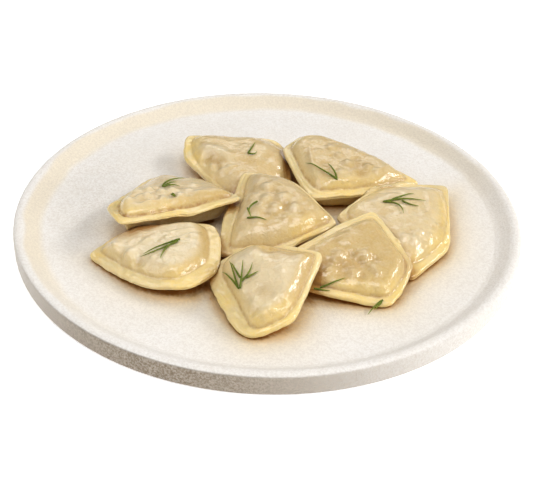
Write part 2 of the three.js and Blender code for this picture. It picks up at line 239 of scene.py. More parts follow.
# ------------------------------------------------------------------------------------------------ finishes
@dataclass(frozen=True)
class StonewareFinish:
    """Unglazed off-white stoneware with butter soaked in near the food, and painted shade with butter where the
    dumplings crowd it.

    It has a sandy skin, a creamier slope inside the rim, a wall painted darker in front as painted shade, and a few
    iron specks.
    """

    body: Colour = screen(240, 237, 233)
    grit: Colour = screen(198, 186, 172)
    slope: Colour = screen(235, 225, 206)
    # painted shade on the outer wall in front
    wall: Colour = screen(146, 130, 108)
    speck: Colour = screen(150, 118, 84)
    butter: Colour = screen(244, 219, 160)
    # painted shade, with butter, where the dumplings crowd the plate
    pool: Colour = screen(206, 168, 108)
    patch_grain: float = 30.0  # mm, as all grains here
    sand_grain: float = 1.1
    pebble_grain: float = 3.0
    speck_pitch: float = 17.0

    def material(self) -> bpy.types.Material:
        """Makes the material.

        Returns:
            The material, which reads the mesh's `butter`, `pool`, `slope`, `dusty` and `wall`, each from 0 to 1.
        """
        material, tree, shader = new_material("stoneware_sandy")
        where = tree.place()
        patches = tree.noise(where, self.patch_grain, 2, 0.5)
        sand = tree.noise(where, self.sand_grain, 3, 0.8)
        pebble = tree.noise(where, self.pebble_grain, 3, 0.6, 0.5)
        wall, pool = tree.attribute("wall"), tree.attribute("pool")
        rough_places = tree.sum("MAXIMUM", wall, tree.attribute("dusty"))
        colour = tree.blend(tree.span(patches, 0.4, 0.65, 0.0, 0.10), self.body, self.slope)
        colour = tree.blend(tree.attribute("slope"), colour, self.slope)
        # painted shade: the outer wall darker in front, away from the light
        colour = tree.blend(wall, colour, self.wall)
        speckled = tree.sum("MULTIPLY_ADD", rough_places, 0.7, 0.32)
        grit = tree.sum("MULTIPLY", tree.span(sand, 0.36, 0.62, 1.0, 0.0), speckled)
        colour = tree.blend(grit, colour, self.grit)
        soaked = tree.sum("MULTIPLY", tree.attribute("butter"), tree.span(sand, 0.3, 0.7, 0.75, 1.0))
        colour = tree.blend(soaked, colour, self.butter, "MULTIPLY")
        # painted shade, with butter, between the dumplings, deepest where they crowd closest
        for share in (pool, tree.span(pool, 0.45, 0.85, 0.0, 0.9)):
            colour = tree.blend(share, colour, self.pool, "MULTIPLY")
        cells = tree.add("ShaderNodeTexVoronoi", {"Vector": where, "Scale": 1 / (self.speck_pitch * MM)})
        dot = tree.span(cells.outputs["Distance"], 0.018, 0.034, 1.0, 0.0)
        chosen = tree.add("ShaderNodeSeparateColor", {"Color": cells.outputs["Color"]}).outputs[0]
        dot = tree.sum("MULTIPLY", dot, tree.span(chosen, 0.84, 0.86, 0.0, 0.7))
        depth = tree.sum("MULTIPLY_ADD", rough_places, 1.1, 0.5)
        normal = tree.bump(tree.sum("MULTIPLY", sand, depth), 0.9, 0.9)
        tree.fit(shader, {
            "Base Color": tree.blend(dot, colour, self.speck),
            "Roughness": tree.span(sand, 0.3, 0.7, 0.65, 0.9),
            "Normal": tree.bump(tree.sum("MULTIPLY", pebble, rough_places), 1.2, 0.6, normal),
            "Specular IOR Level": 0.25,
        })
        return material


@dataclass(frozen=True)
class DoughFinish:
    """Boiled dough, thin and wet: cream over the filling, yellower along the sealed edge, with a film of butter."""

    cream: Colour = screen(233, 216, 180)
    filling: Colour = screen(204, 174, 115)
    bit: Colour = screen(236, 224, 196)
    # painted shade where the sheet sinks between bits of filling
    hollow_shade: Colour = screen(180, 142, 82)
    edge: Colour = screen(238, 214, 150)
    deep: Colour = screen(245, 213, 122)
    # painted shade at the foot of the pillow's wall
    shade: Colour = screen(200, 166, 98)
    # painted shade in the pressed crease
    crease_shade: Colour = screen(178, 134, 74)
    # painted shade, with butter, where other dumplings crowd the dough
    nook: Colour = screen(190, 152, 98)
    broad_grain: float = 9.0  # mm, as all grains here
    mid_grain: float = 3.2
    fine_grain: float = 1.1
    gloss_grain: float = 2.6
    pore_grain: float = 0.8

    def material(self) -> bpy.types.Material:
        """Makes the material.

        Returns:
            The material, which reads the mesh's `border`, `filling`, `butter`, `rise`, `crease_shade` and `nook`, from 0 to 1,
            and `bits`, from -1 to 1.
        """
        material, tree, shader = new_material("dough_boiled")
        where = tree.place()
        broad = tree.noise(where, self.broad_grain, 3, 0.55, 0.4)
        mid = tree.noise(where, self.mid_grain, 3, 0.6, 0.3)
        fine = tree.noise(where, self.fine_grain, 3, 0.6)
        bits, nook = tree.attribute("bits"), tree.attribute("nook")
        shows = tree.sum("MULTIPLY", tree.attribute("filling"), tree.span(broad, 0.3, 0.7, 0.6, 0.95))
        shows = tree.sum("SUBTRACT", shows, tree.sum("MULTIPLY", bits, 0.35), clamp=True)
        border = tree.sum("MULTIPLY", tree.attribute("border"), tree.span(broad, 0.25, 0.75, 1.0, 0.75))
        soaked = tree.sum("MULTIPLY", tree.attribute("butter"), tree.span(mid, 0.3, 0.7, 0.5, 0.85))
        # painted shade in the pressed crease
        pressed = tree.sum("MULTIPLY", tree.attribute("crease_shade"), tree.span(mid, 0.3, 0.65, 0.3, 1.0))
        colour = self.cream
        for share, tone in (
            (shows, self.filling),
            (tree.span(bits, 0.1, 0.9, 0.0, 0.25), self.bit),
            # painted shade in the hollows between the bits of filling
            (tree.span(bits, -0.8, 0.0, 0.5, 0.0), self.hollow_shade),
            (border, self.edge),
            # painted shade at the foot of the wall, lighter on walls that face left
            (tree.attribute("rise"), self.shade),
            (soaked, self.deep),
            (pressed, self.crease_shade),
            (tree.span(mid, 0.3, 0.7, 0.16, 0.0), self.filling),
            (tree.span(fine, 0.35, 0.65, 0.0, 0.14), self.bit),
        ):
            colour = tree.blend(share, colour, tone)
        # painted shade, with butter, where other dumplings stand close, deepest where they crowd in
        for share in (nook, tree.span(nook, 0.6, 1.0, 0.0, 0.45)):
            colour = tree.blend(share, colour, self.nook, "MULTIPLY")
        dimples = tree.noise(where, self.gloss_grain, 3, 0.6, 0.8)
        pores = tree.noise(where, self.pore_grain, 2, 0.6)
        tree.fit(shader, {
            "Base Color": colour,
            "Roughness": tree.span(tree.noise(where, 3.5, 2, 0.6), 0.35, 0.65, 0.3, 0.5),
            "Normal": tree.bump(pores, 0.15, 0.7, tree.bump(dimples, 0.6, 0.8)),
            "Subsurface Weight": 0.28,
            "Subsurface Radius": (1.0, 0.75, 0.5),
            "Subsurface Scale": 0.8 * MM,
            "Coat Weight": 1.0,
            "Coat Roughness": 0.035,
            "Coat IOR": 1.5,
            "Coat Normal": tree.bump(dimples, 0.25, 0.8),
            "Specular IOR Level": 0.25,
        })
        return material


@dataclass(frozen=True)
class DillFinish:
    """Fresh dill: dark green needles, lighter towards the tips."""

    dark: Colour = screen(68, 86, 12)
    light: Colour = screen(140, 150, 46)

    def material(self) -> bpy.types.Material:
        """Makes the material.

        Returns:
            The material, which reads the mesh's `tip`, from 0 at a needle's foot to 1 at its end.
        """
        material, tree, shader = new_material("dill_fresh")
        where = tree.place()
        mottle = tree.noise(where, 1.4, 3, 0.6)
        share = tree.sum("MULTIPLY_ADD", tree.attribute("tip"), 0.45, tree.span(mottle, 0.3, 0.75, 0.0, 0.5))
        tree.fit(shader, {
            "Base Color": tree.blend(share, self.dark, self.light),
            "Roughness": tree.span(mottle, 0.3, 0.7, 0.35, 0.6),
            "Normal": tree.bump(tree.noise(where, 0.3, 2, 0.5), 0.05, 0.6),
            "Subsurface Weight": 0.15,
            "Subsurface Radius": (0.5, 1.0, 0.2),
            "Subsurface Scale": 0.6 * MM,
            "Specular IOR Level": 0.3,
        })
        return material


# ------------------------------------------------------------------------------------------------ shared shape rules
def clouds(points: np.ndarray, grain: float, seed: int) -> np.ndarray:
    """Smooth noise: random values on a cubic lattice, eased between its points.

    Args:
        points: Points in millimetres, one a row.
        grain: The lattice's pitch in millimetres.
        seed: The number that fixes the random values.

    Returns:
        One value from -1 to 1 for each point.
    """
    size = 32
    table = np.random.default_rng(seed).uniform(-1, 1, (size, size, size))
    turned = points @ np.array([[0.80, 0.52, 0.30], [-0.60, 0.68, 0.42], [0.01, -0.52, 0.86]]) / grain + 100.0
    cell = np.floor(turned).astype(int)
    share = turned - cell
    share = share * share * (3 - 2 * share)
    total = np.zeros(len(points))
    for corner in np.ndindex(2, 2, 2):
        at = (cell + np.array(corner)) % size
        weight = np.where(corner, share, 1 - share).prod(axis=1)
        total += weight * table[at[:, 0], at[:, 1], at[:, 2]]
    return total


SOFTNESS = 2.367  # how sharp a soft minimum is that rounds a right-angled corner by 1
WIDEST = 90.0  # mm, more than any outline reaches from its middle


def near(flat: np.ndarray, x: float, y: float, size: float) -> np.ndarray:
    """The squared distances of points, (x, y) first in each row, from one point, in units of `size` squared."""
    return ((flat[:, 0] - x) ** 2 + (flat[:, 1] - y) ** 2) / size**2


def inset(points: np.ndarray, corners: np.ndarray, rounding: float, flange: np.ndarray | float = 0.0) -> np.ndarray:
    """How far points lie inside a polygon whose sides are moved in by `flange` and whose corners are rounded.

    Args:
        points: The points, (x, y) in the last axis.
        corners: The polygon's corners, anticlockwise.
        rounding: The corners' radius.
        flange: How far each side is moved in.

    Returns:
        The distances, negative outside.
    """
    run = np.roll(corners, -1, axis=0) - corners
    inward = np.stack([-run[:, 1], run[:, 0]], 1) / np.linalg.norm(run, axis=1, keepdims=True)
    depth = points @ inward.T - (corners * inward).sum(1) - flange
    least = depth.min(-1, keepdims=True)
    sharp = SOFTNESS / rounding
    return least[..., 0] - np.log(np.exp(-sharp * (depth - least)).sum(-1)) / sharp


def reach(
    aim: np.ndarray, corners: np.ndarray, rounding: float, flange: np.ndarray | float = 0.0, level: float = 0.0
) -> np.ndarray:
    """How far along each direction the inset comes down to `level`.

    Args:
        aim: Unit directions from the middle, one a row.
        corners: The polygon's corners.
        rounding: The corners' radius.
        flange: How far each side is moved in.
        level: The inset looked for.

    Returns:
        A distance for each direction.
    """
    low, high = np.zeros(len(aim)), np.full(len(aim), WIDEST)
    for _ in range(36):
        middle = (low + high) / 2
        inside = inset(aim * middle[:, None], corners, rounding, flange) > level
        low, high = np.where(inside, middle, low), np.where(inside, high, middle)
    return (low + high) / 2


def pillow(
    depth: np.ndarray, height: float, run: float, dome: float, p: float, q: float, soft: float = 0.0
) -> np.ndarray:
    """A filled pillow's height at `depth` inside its crease.

    Args:
        depth: How far inside the crease each point is.
        height: How high the wall rises.
        run: Over what distance it rises.
        dome: How much higher the middle stands.
        p: How soon the wall turns over.
        q: How steeply the wall starts.
        soft: How wide a fillet joins the wall to the border.

    Returns:
        The heights.
    """
    inner = (depth + np.sqrt(depth**2 + soft**2)) / 2
    share = np.minimum(inner / run, 1.0)
    return height * (1 - (1 - share) ** p) ** q + dome * (1 - np.exp(-inner / 9.0))


def ease(value: np.ndarray, low: float, high: float) -> np.ndarray:
    """`value` eased from 0 at `low` to 1 at `high`."""
    share = np.clip((value - low) / (high - low), 0, 1)
    return share * share * (3 - 2 * share)


def mark(mesh: bpy.types.Mesh, **marks: np.ndarray) -> None:
    """Keeps numbers at each point of `mesh`, under their names, for the material or a node tree."""
    for name, values in marks.items():
        kept = mesh.attributes.get(name) or mesh.attributes.new(name, "FLOAT", "POINT")
        kept.data.foreach_set("value", np.asarray(values, np.float32))


def mesh_of(
    name: str, points: np.ndarray, faces: list[list[int]], material: bpy.types.Material, **marks: np.ndarray
) -> bpy.types.Object:
    """A smooth mesh object, from millimetres.

    Args:
        name: The object's name.
        points: Its points in millimetres.
        faces: Its triangles or quads.
        material: Its material.
        marks: Numbers kept at each point for the material.

    Returns:
        The object, linked to the scene.
    """
    mesh = bpy.data.meshes.new(name)
    mesh.from_pydata((points * MM).tolist(), [], faces)
    mesh.polygons.foreach_set("use_smooth", [True] * len(mesh.polygons))
    mark(mesh, **marks)
    mesh.materials.append(material)
    made = bpy.data.objects.new(name, mesh)
    bpy.context.scene.collection.objects.link(made)
    return made


def settle(piece: bpy.types.Object, node: str) -> None:
    """Lets a finished piece ride on the part's body and stand for its CAD node."""
    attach(piece, BODY)
    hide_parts(node)


# ------------------------------------------------------------------------------------------------ dumplings
@dataclass
class Dumpling:
    """One boiled dumpling: two sheets of dough sealed round a filling.

    Its outline is a polygon with rounded corners. It lies with its middle at `at`, z measured from the plate's floor,
    and leans down by `lean[0]` degrees on the side that faces `lean[1]` degrees from +X.
    """

    name: str
    at: Spot
    lean: Pair
    seed: int
    wall: Pair  # the pillow wall's height and the distance over which it rises
    corners: list[Pair]
    flange: list[float]  # the width of the flat sealed border at each side
    lumps: list[Bump]  # bits of filling that show: x, y, reach, height
    lift: list[float] = field(default_factory=list)  # how far each corner curls up or down
    dome: float = 2.0  # how much higher than its wall the pillow's middle stands
    belly: Pair = (4.2, 8.0)  # the same as `wall` for the underside
    crease: float = 5.0  # how round the pillow's corners are
    seal: float = 1.0  # how deep the crease is pressed, and how dark the painted shade in it is
    lines: float = 0.5  # how much the sealed border is grooved
    soft: float = 0.6  # the fillet between the wall and the border
    tint: float = 0.5  # how much of the filling's colour shows through
    pools: list[Spot] = field(default_factory=list)  # where butter gathers: x, y, reach
    folds: list[tuple[float, ...]] = field(default_factory=list)  # x, y to x, y, width, height
    dents: list[Bump] = field(default_factory=list)  # nicks in the edge: x, y, reach, depth

    SHEET = 2.4  # the sealed border's thickness
    CORNER = 4.0  # how round the outline's corners are
    LIFT_REACH = 17.0  # how far from a corner its curl is felt
    FLANGE_WAVE = 0.35  # how much the border waves
    WAVES = (3, 5, 8)  # how many times round the outline
    RAGGED = 0.38  # how ragged the edge is
    RELIEF = 1.15  # how much the lumps stand out
    WANDER = 0.9  # how far the crease strays
    WRINKLE = 0.09  # how wrinkled the thin dough is
    TOP = (2.2, 0.6)  # how soon the upper wall turns over, and how steeply it starts
    UNDER = (1.4, 1.6, 1.0)  # the dome of the underside, and the same
    RAYS = 320
    TURN = 14.0  # mm of outline that a radian of turn counts for when the rays are spread
    RINGS_ABOVE = (15, 18, 60)  # across the border, up the foot of the wall, and for the rest
    RINGS_BELOW = (8, 8, 20)
    FOOT = 4.2  # how far the foot of the wall reaches in from the crease
    NARROWEST = 0.8  # the least width of border that is left where the edge is nicked

    def frame(self) -> np.ndarray:
        """The lean as a rotation matrix: the side that faces `lean[1]` degrees goes down."""
        toward = math.radians(self.lean[1])
        axis = Vector((-math.sin(toward), math.cos(toward), 0))
        return np.array(Matrix.Rotation(math.radians(self.lean[0]), 3, axis))

    @property
    def shape(self) -> np.ndarray:
        """The outline's corners as an array."""
        return np.array(self.corners, float)

    def rough(self, flat: np.ndarray, shift: float, *layers: tuple[float, float, int]) -> np.ndarray:
        """Smooth noise in layers over points of the sheet plane.

        Args:
            flat: The points, one a row.
            shift: Where the plane cuts the noise.
            layers: The height, the grain in millimetres and what is added to the seed, for each layer.

        Returns:
            A value for each point.
        """
        points = np.column_stack([flat, np.full(len(flat), shift)])
        return sum(height * clouds(points, grain, self.seed + more) for height, grain, more in layers)

    def directions(self) -> np.ndarray:
        """Unit directions to points spread round the outline, closer together where it turns.

        Returns:
            One direction a row.
        """
        angles = np.linspace(0, 2 * math.pi, 1441)
        aim = np.stack([np.cos(angles), np.sin(angles)], 1)
        outline = aim * reach(aim, self.shape, self.CORNER)[:, None]
        step = np.diff(outline, axis=0)
        heading = np.arctan2(step[:, 1], step[:, 0])
        turn = np.abs((np.roll(heading, -1) - heading + math.pi) % (2 * math.pi) - math.pi)
        cost = np.concatenate([[0], np.cumsum(np.linalg.norm(step, axis=1) + self.TURN * turn)])
        chosen = np.interp(np.linspace(0, cost[-1], self.RAYS + 1)[:-1], cost, angles)
        return np.stack([np.cos(chosen), np.sin(chosen)], 1)

    def radii(self, aim: np.ndarray, flat: int, rise: int, middle: int) -> np.ndarray:
        """Rings from the edge to near the middle.

        Args:
            aim: The directions of the rays.
            flat: How many rings cross the sealed border.
            rise: How many climb the foot of the wall.
            middle: How many are left for the rest.

        Returns:
            One row of distances for each ring.
        """
        flange = np.array(self.flange)
        edge = reach(aim, self.shape, self.CORNER)
        ring = aim * edge[:, None]
        for x, y, size, depth in self.dents:
            edge = edge - depth * np.exp(-near(ring, x, y, size))
        edge = edge + self.RAGGED * self.rough(ring, 11.0 * self.seed, (1.0, 6.0, 3), (0.6, 2.4, 4))
        crease = np.minimum(reach(aim, self.shape, self.crease, flange), edge - self.NARROWEST)
        rows = [edge + (crease - edge) * s for s in np.linspace(0, 1, flat)]
        for level in np.linspace(0, self.FOOT, rise + 1)[1:]:
            rows.append(np.minimum(reach(aim, self.shape, self.crease, flange, level), crease - 0.8 * level))
        rows += [rows[-1] * s for s in np.linspace(1, 0, middle + 1)[1:-1]]
        return np.array(rows)

    def sheet(self, flat: np.ndarray) -> dict[str, np.ndarray]:
        """The dumpling's surfaces over points of its own sheet plane.

        Args:
            flat: The points, one a row.

        Returns:
            The heights of `top` and `under`, and `v`, how far each point lies inside the crease.
        """
        shift = 3.0 * self.seed
        u = inset(flat, self.shape, self.CORNER)
        v = inset(flat, self.shape, self.crease, np.array(self.flange))
        v += self.WANDER * self.rough(flat, shift, (1.0, 13.0, 90), (0.5, 5.0, 91)) * ease(u, 0.3, 2.5)
        rim = np.clip(u / 0.9, 0, 1)
        half = self.SHEET / 2 * (0.45 + 0.55 * np.sqrt(1 - (1 - rim) ** 2))
        top = pillow(v, *self.wall, self.dome, *self.TOP, self.soft)
        under = pillow(v, *self.belly, *self.UNDER)
        for x, y, size, height in self.lumps:
            top += self.RELIEF * height * np.exp(-(near(flat, x, y, size) ** 1.25)) * np.clip(v / 2.5, 0, 1)
        bend = self.rough(flat, shift, (0.55, 9.0, 5), (0.25, 3.5, 6)) * (1 - ease(v, -3.0, 1.5))
        for (x, y), lift in zip(self.corners, self.lift):
            bend += lift * np.exp(-near(flat, x, y, self.LIFT_REACH))
        angle = np.arctan2(flat[:, 1], flat[:, 0])
        for k in self.WAVES:
            wave = self.FLANGE_WAVE * np.exp(-np.maximum(u, 0) / 4) / math.sqrt(k)
            bend += wave * np.sin(k * angle + 1.7 * self.seed * k)
        top += self.relief(flat, u, v)
        return {"top": half + top + bend, "under": -half - under + bend, "v": v}

    def relief(self, flat: np.ndarray, u: np.ndarray, v: np.ndarray) -> np.ndarray:
        """What the fingers, the seal and the filling leave on the upper sheet: folds, wrinkles and pressed lines.

        Args:
            flat: The points of the sheet plane.
            u: How far each lies inside the edge.
            v: How far each lies inside the crease.

        Returns:
            The heights to add.
        """
        shift = 7.0 * self.seed
        height = self.rough(flat, shift, (0.45, 9.0, 0), (0.30, 3.6, 20))
        height += self.rough(flat * np.array([1.0, 2.2]), shift, (self.WRINKLE, 1.7, 40))
        height *= ease(v, 0.3, 4.0)
        height += self.rough(flat, shift, (0.20, 2.6, 60)) * (1 - ease(v, -0.9, 0.5)) * ease(u, 0.0, 1.0)
        uneven = np.clip(0.4 + self.rough(flat, shift, (1.3, 9.0, 80)), 0.0, 1.2)
        pressed = [  # height, how far outside the crease, width, and where it fades towards the edge
            (-0.45 * self.seal * (0.6 + 0.5 * uneven), 0.2, 0.55, (0.6, 1.4)),
            (0.20 * self.lines * uneven, 1.5, 0.6, (0.4, 1.2)),
            (-0.26 * self.lines * uneven, 2.6, 0.45, (0.7, 1.5)),
        ]
        for rise, out, width, fade in pressed:
            height += rise * np.exp(-(((v + out) / width) ** 2)) * ease(u, *fade)
        for x0, y0, x1, y1, width, rise in self.folds:
            along = np.array([x1 - x0, y1 - y0])
            rel = flat - np.array([x0, y0])
            share = np.clip(rel @ along / (along @ along), 0, 1)
            across = np.linalg.norm(rel - share[:, None] * along, axis=1)
            height += rise * np.exp(-((across / width) ** 2)) * np.sin(math.pi * np.clip(share, 0.12, 0.88))
        return height

    def marks(self, flat: np.ndarray, v: np.ndarray, side: float) -> dict[str, np.ndarray]:
        """What the finish reads at points of the sheet plane.

        Args:
            flat: The points, one a row.
            v: How far each lies inside the crease.
            side: 0 on the upper sheet, 0.5 on the edge and 1 on the lower sheet.

        Returns:
            The marks by name. `bits` is up to 1 where a bit of filling presses against the sheet, and down to -1 where
            the sheet sinks between them; `butter` is most near the pools and least on top of the filling.
        """
        bits, butter = np.zeros(len(flat)), np.zeros(len(flat))
        for x, y, size, height in self.lumps:
            bits += height / 1.4 * np.exp(-near(flat, x, y, 0.9 * size))
        for x, y, size in self.pools:
            butter = np.maximum(butter, np.exp(-near(flat, x, y, size)))
        # which way a point faces: the wall's painted shade is weaker on the left than on the right
        facing = (0.9 * flat[:, 0] + 0.4 * flat[:, 1]) / np.maximum(np.linalg.norm(flat, axis=1), 1.0)
        return {
            "border": 1 - ease(v, -0.5, 6.0),
            "filling": ease(v, 0.5, 6.0) * self.tint,
            "bits": np.clip(bits, -1, 1) * float(side == 0.0),
            "butter": butter * (1 - 0.75 * ease(v, 0.0, 8.0)),
            # painted shade at the foot of the wall, weighted by which way it faces
            "rise": (0.6 + 0.3 * facing) * ease(v, -0.8, 0.6) * (1 - ease(v, 1.5, 6.5)),
            # painted shade in the crease
            "crease_shade": 0.75 * self.seal * np.exp(-(((v + 0.1) / 0.55) ** 2)),
            "side": np.full(len(flat), side),
        }

    def skin(self) -> tuple[np.ndarray, list[list[int]], dict[str, np.ndarray]]:
        """The closed skin in the part's frame.

        Returns:
            Points in millimetres, faces, and the marks for the finish with `side`.
        """
        aim = self.directions()
        tops = [aim * radius[:, None] for radius in self.radii(aim, *self.RINGS_ABOVE)[::-1]]
        unders = [aim * radius[:, None] for radius in self.radii(aim, *self.RINGS_BELOW)]
        rows: list[np.ndarray] = []
        found: list[dict[str, np.ndarray]] = []
        for ring in tops:
            made = self.sheet(ring)
            rows.append(np.column_stack([ring, made["top"]]))
            found.append(self.marks(ring, made["v"], 0.0))
        rim = tops[-1]
        for share in np.linspace(0, 1, 9)[1:-1]:
            bulge = 0.45 * math.sin(math.pi * share) ** 0.6 * (1 + self.rough(rim, 3.0, (0.3, 5.0, 7)))
            split = 0.32 * math.exp(-(((share - 0.52) / 0.13) ** 2)) * (0.8 + self.rough(rim, 3.0, (0.5, 6.0, 9)))
            ring = rim + aim * (bulge - split)[:, None]
            rows.append(np.column_stack([ring, made["top"] * (1 - share) + made["under"] * share]))
            found.append(self.marks(ring, made["v"], 0.5))
        for ring in unders:
            made = self.sheet(ring)
            rows.append(np.column_stack([ring, made["under"]]))
            found.append(self.marks(ring, made["v"], 1.0))
        ends = self.sheet(np.zeros((1, 2)))
        local = np.concatenate([*rows, [[0, 0, ends["top"][0]]], [[0, 0, ends["under"][0]]]])
        world = local @ self.frame().T + np.array(self.at) + np.array([0, 0, Plate.FLOOR])
        kept = {name: [f[name] for f in found] for name in found[0]}
        kept = {name: np.concatenate([*values, values[0][:1], values[-1][:1]]) for name, values in kept.items()}
        return world, self.faces(len(rows), len(aim)), kept

    @staticmethod
    def faces(rings: int, count: int) -> list[list[int]]:
        """Joins rings of points into a skin that is closed by one point at either end.

        Args:
            rings: How many rings there are.
            count: How many points a ring has.

        Returns:
            The faces, turned outwards.
        """
        here = np.arange(count)
        beside = (here + 1) % count
        start = np.arange(rings - 1)[:, None] * count
        quads = np.stack([start + here, start + count + here, start + count + beside, start + beside], -1)
        first, last = rings * count, rings * count + 1
        fan = np.stack([np.full(count, first), here, beside], 1)
        foot = np.stack([np.full(count, last), (rings - 1) * count + beside, (rings - 1) * count + here], 1)
        return [*quads.reshape(-1, 4).tolist(), *fan.tolist(), *foot.tolist()]


@dataclass
class Pile:
    """The dumplings, laid one after another, and how high and how close they stand."""

    finish: DoughFinish = field(default_factory=DoughFinish)
    laid: dict[str, tuple[np.ndarray, list[list[int]]]] = field(default_factory=dict)
    trees: dict[str, BVHTree] = field(default_factory=dict)

    CLOSE = 12.0  # mm within which a neighbour hems a point in
    ROOM = (1.2, 0.6, 0.0)  # mm more than the gap that the upper sheet, the edge and the lower sheet keep
    CLIMB = 1.6  # mm by which a point may be raised where it lies on another dumpling
    DRAW = 0.25  # mm by which a point is drawn in, time after time, where it would be raised by more
    DRAWS = 14

    def ground(self) -> BVHTree:
        """Everything laid so far, as one search tree."""
        offset, corners, faces = 0, [], []
        for points, own in self.laid.values():
            corners += points.tolist()
            faces += [[i + offset for i in face] for face in own]
            offset += len(points)
        return BVHTree.FromPolygons(corners, faces)

    def crowding(self, points: np.ndarray, chosen: np.ndarray, but: str = "") -> np.ndarray:
        """How hemmed in points are by the dumplings round them.

        Args:
            points: The points, in millimetres.
            chosen: Which of them are looked at; the others count as free.
            but: A dumpling that is left out.

        Returns:
            For each point, the share of sixteen upward directions in which a dumpling stands close.
        """
        turns = [(math.tau * k / 8, math.radians(rise)) for k in range(8) for rise in (20, 50)]
        aims = [Vector((math.cos(a) * math.cos(e), math.sin(a) * math.cos(e), math.sin(e))) for a, e in turns]
        blocked = np.zeros((len(points), len(aims)), bool)
        for dumpling in DUMPLINGS:
            if dumpling.name == but:
                continue
            tree = self.trees[dumpling.name]
            for i in np.flatnonzero(chosen & (outside(points, dumpling) < self.CLOSE)):
                start = Vector(points[i]) + Vector((0, 0, 0.2))
                blocked[i] |= np.array([tree.ray_cast(start, aim, self.CLOSE)[0] is not None for aim in aims])
        return blocked.mean(axis=1)

    def soak(self, pieces: dict[str, bpy.types.Object]) -> None:
        """Marks the painted shade, with butter, between the dumplings, once all of them are laid.

        Args:
            pieces: The dumplings' pieces by name.
        """
        for name, piece in pieces.items():
            points = self.laid[name][0]
            low = np.zeros(len(points), np.float32)
            piece.data.attributes["nook"].data.foreach_get("value", low)
            crowd = self.crowding(points, low > 0, name)
            # painted shade, with butter, by how hemmed in each point is
            mark(piece.data, nook=np.maximum(ease(crowd, 0.0, 0.6), low))
            LOG.info("%s: %.2f of its points are hemmed in", name, float((crowd > 0.2).mean()))

    @staticmethod
    def height(tree: BVHTree, x: float, y: float) -> float:
        """The highest point of what is laid at (x, y), or the plate's floor."""
        hit = tree.ray_cast(Vector((x, y, 100.0)), Vector((0, 0, -1)))[0]
        return Plate.FLOOR if hit is None else max(hit.z, Plate.FLOOR)

    def press(self, points: np.ndarray, side: np.ndarray, middle: np.ndarray) -> np.ndarray:
        """Draws points in and raises them until they clear what is laid already.

        Args:
            points: The points, whose (x, y) are moved in place.
            side: Which sheet each belongs to, from 0 to 1.
            middle: The (x, y) that they are drawn towards.

        Returns:
            How far each has to be raised.
        """
        tree = self.ground()
        raised = np.zeros(len(points))
        for i, point in enumerate(points):
            room = GAP + self.ROOM[round(2 * side[i])]
            for _ in range(self.DRAWS):
                need = self.height(tree, point[0], point[1]) + room - point[2]
                if need <= self.CLIMB:
                    break
                inwards = middle - point[:2]
                point[:2] += inwards * (self.DRAW / np.linalg.norm(inwards))
            if need > 0 and self.height(tree, point[0], point[1]) > Plate.FLOOR:
                raised[i] = need
        return raised

    def lay(self, dumpling: Dumpling, material: bpy.types.Material) -> bpy.types.Object:
        """Lays one dumpling on the plate and on those already there.

        Args:
            dumpling: The dumpling.
            material: Its dough.

        Returns:
            The piece.
        """
        points, faces, marks = dumpling.skin()
        side = marks.pop("side")
        # Painted shade, with butter, on the upper sheet and edge where other dumplings stand close and low; deepened
        # once all are laid.
        others = [outside(points, d) for d in DUMPLINGS if d is not dumpling]
        beside = np.exp(-np.maximum(np.min(others, axis=0), 0.0) / 3.5)
        low_down = 1 - ease(points[:, 2] - Plate.FLOOR, 5.0, 13.0)
        marks["nook"] = (side < 0.75) * np.maximum(0.7 * beside * low_down, 0.001)
        low = side > 0.25
        points[low, 2] = np.maximum(points[low, 2], Plate.FLOOR + GAP)
        if self.laid:
            raised = self.press(points, side, np.array(dumpling.at[:2]))
            points[:, 2] += raised
            LOG.info("%s: %d points raised, at most %.2f mm", dumpling.name, (raised > 0).sum(), raised.max())
        self.laid[dumpling.name] = (points, faces)
        self.trees[dumpling.name] = BVHTree.FromPolygons(points.tolist(), faces)
        piece = mesh_of(dumpling.name.replace("dumpling", "pierogi"), points, faces, material, **marks)
        LOG.info("%s: %d points", dumpling.name, len(points))
        settle(piece, dumpling.name)
        return piece


SEEN_CORNER = 5.0  # mm, how round an outline's corners are as seen from above


def outside(points: np.ndarray, dumpling: Dumpling) -> np.ndarray:
    """How far points lie outside a dumpling's outline as seen from above.

    Args:
        points: The points in the part's frame, in millimetres.
        dumpling: The dumpling.

    Returns:
        The distances, negative inside.
    """
    corners = np.column_stack([dumpling.shape, np.zeros(len(dumpling.corners))])
    seen = (corners @ dumpling.frame().T + np.array(dumpling.at))[:, :2]
    return -inset(points[:, :2], seen, SEEN_CORNER)


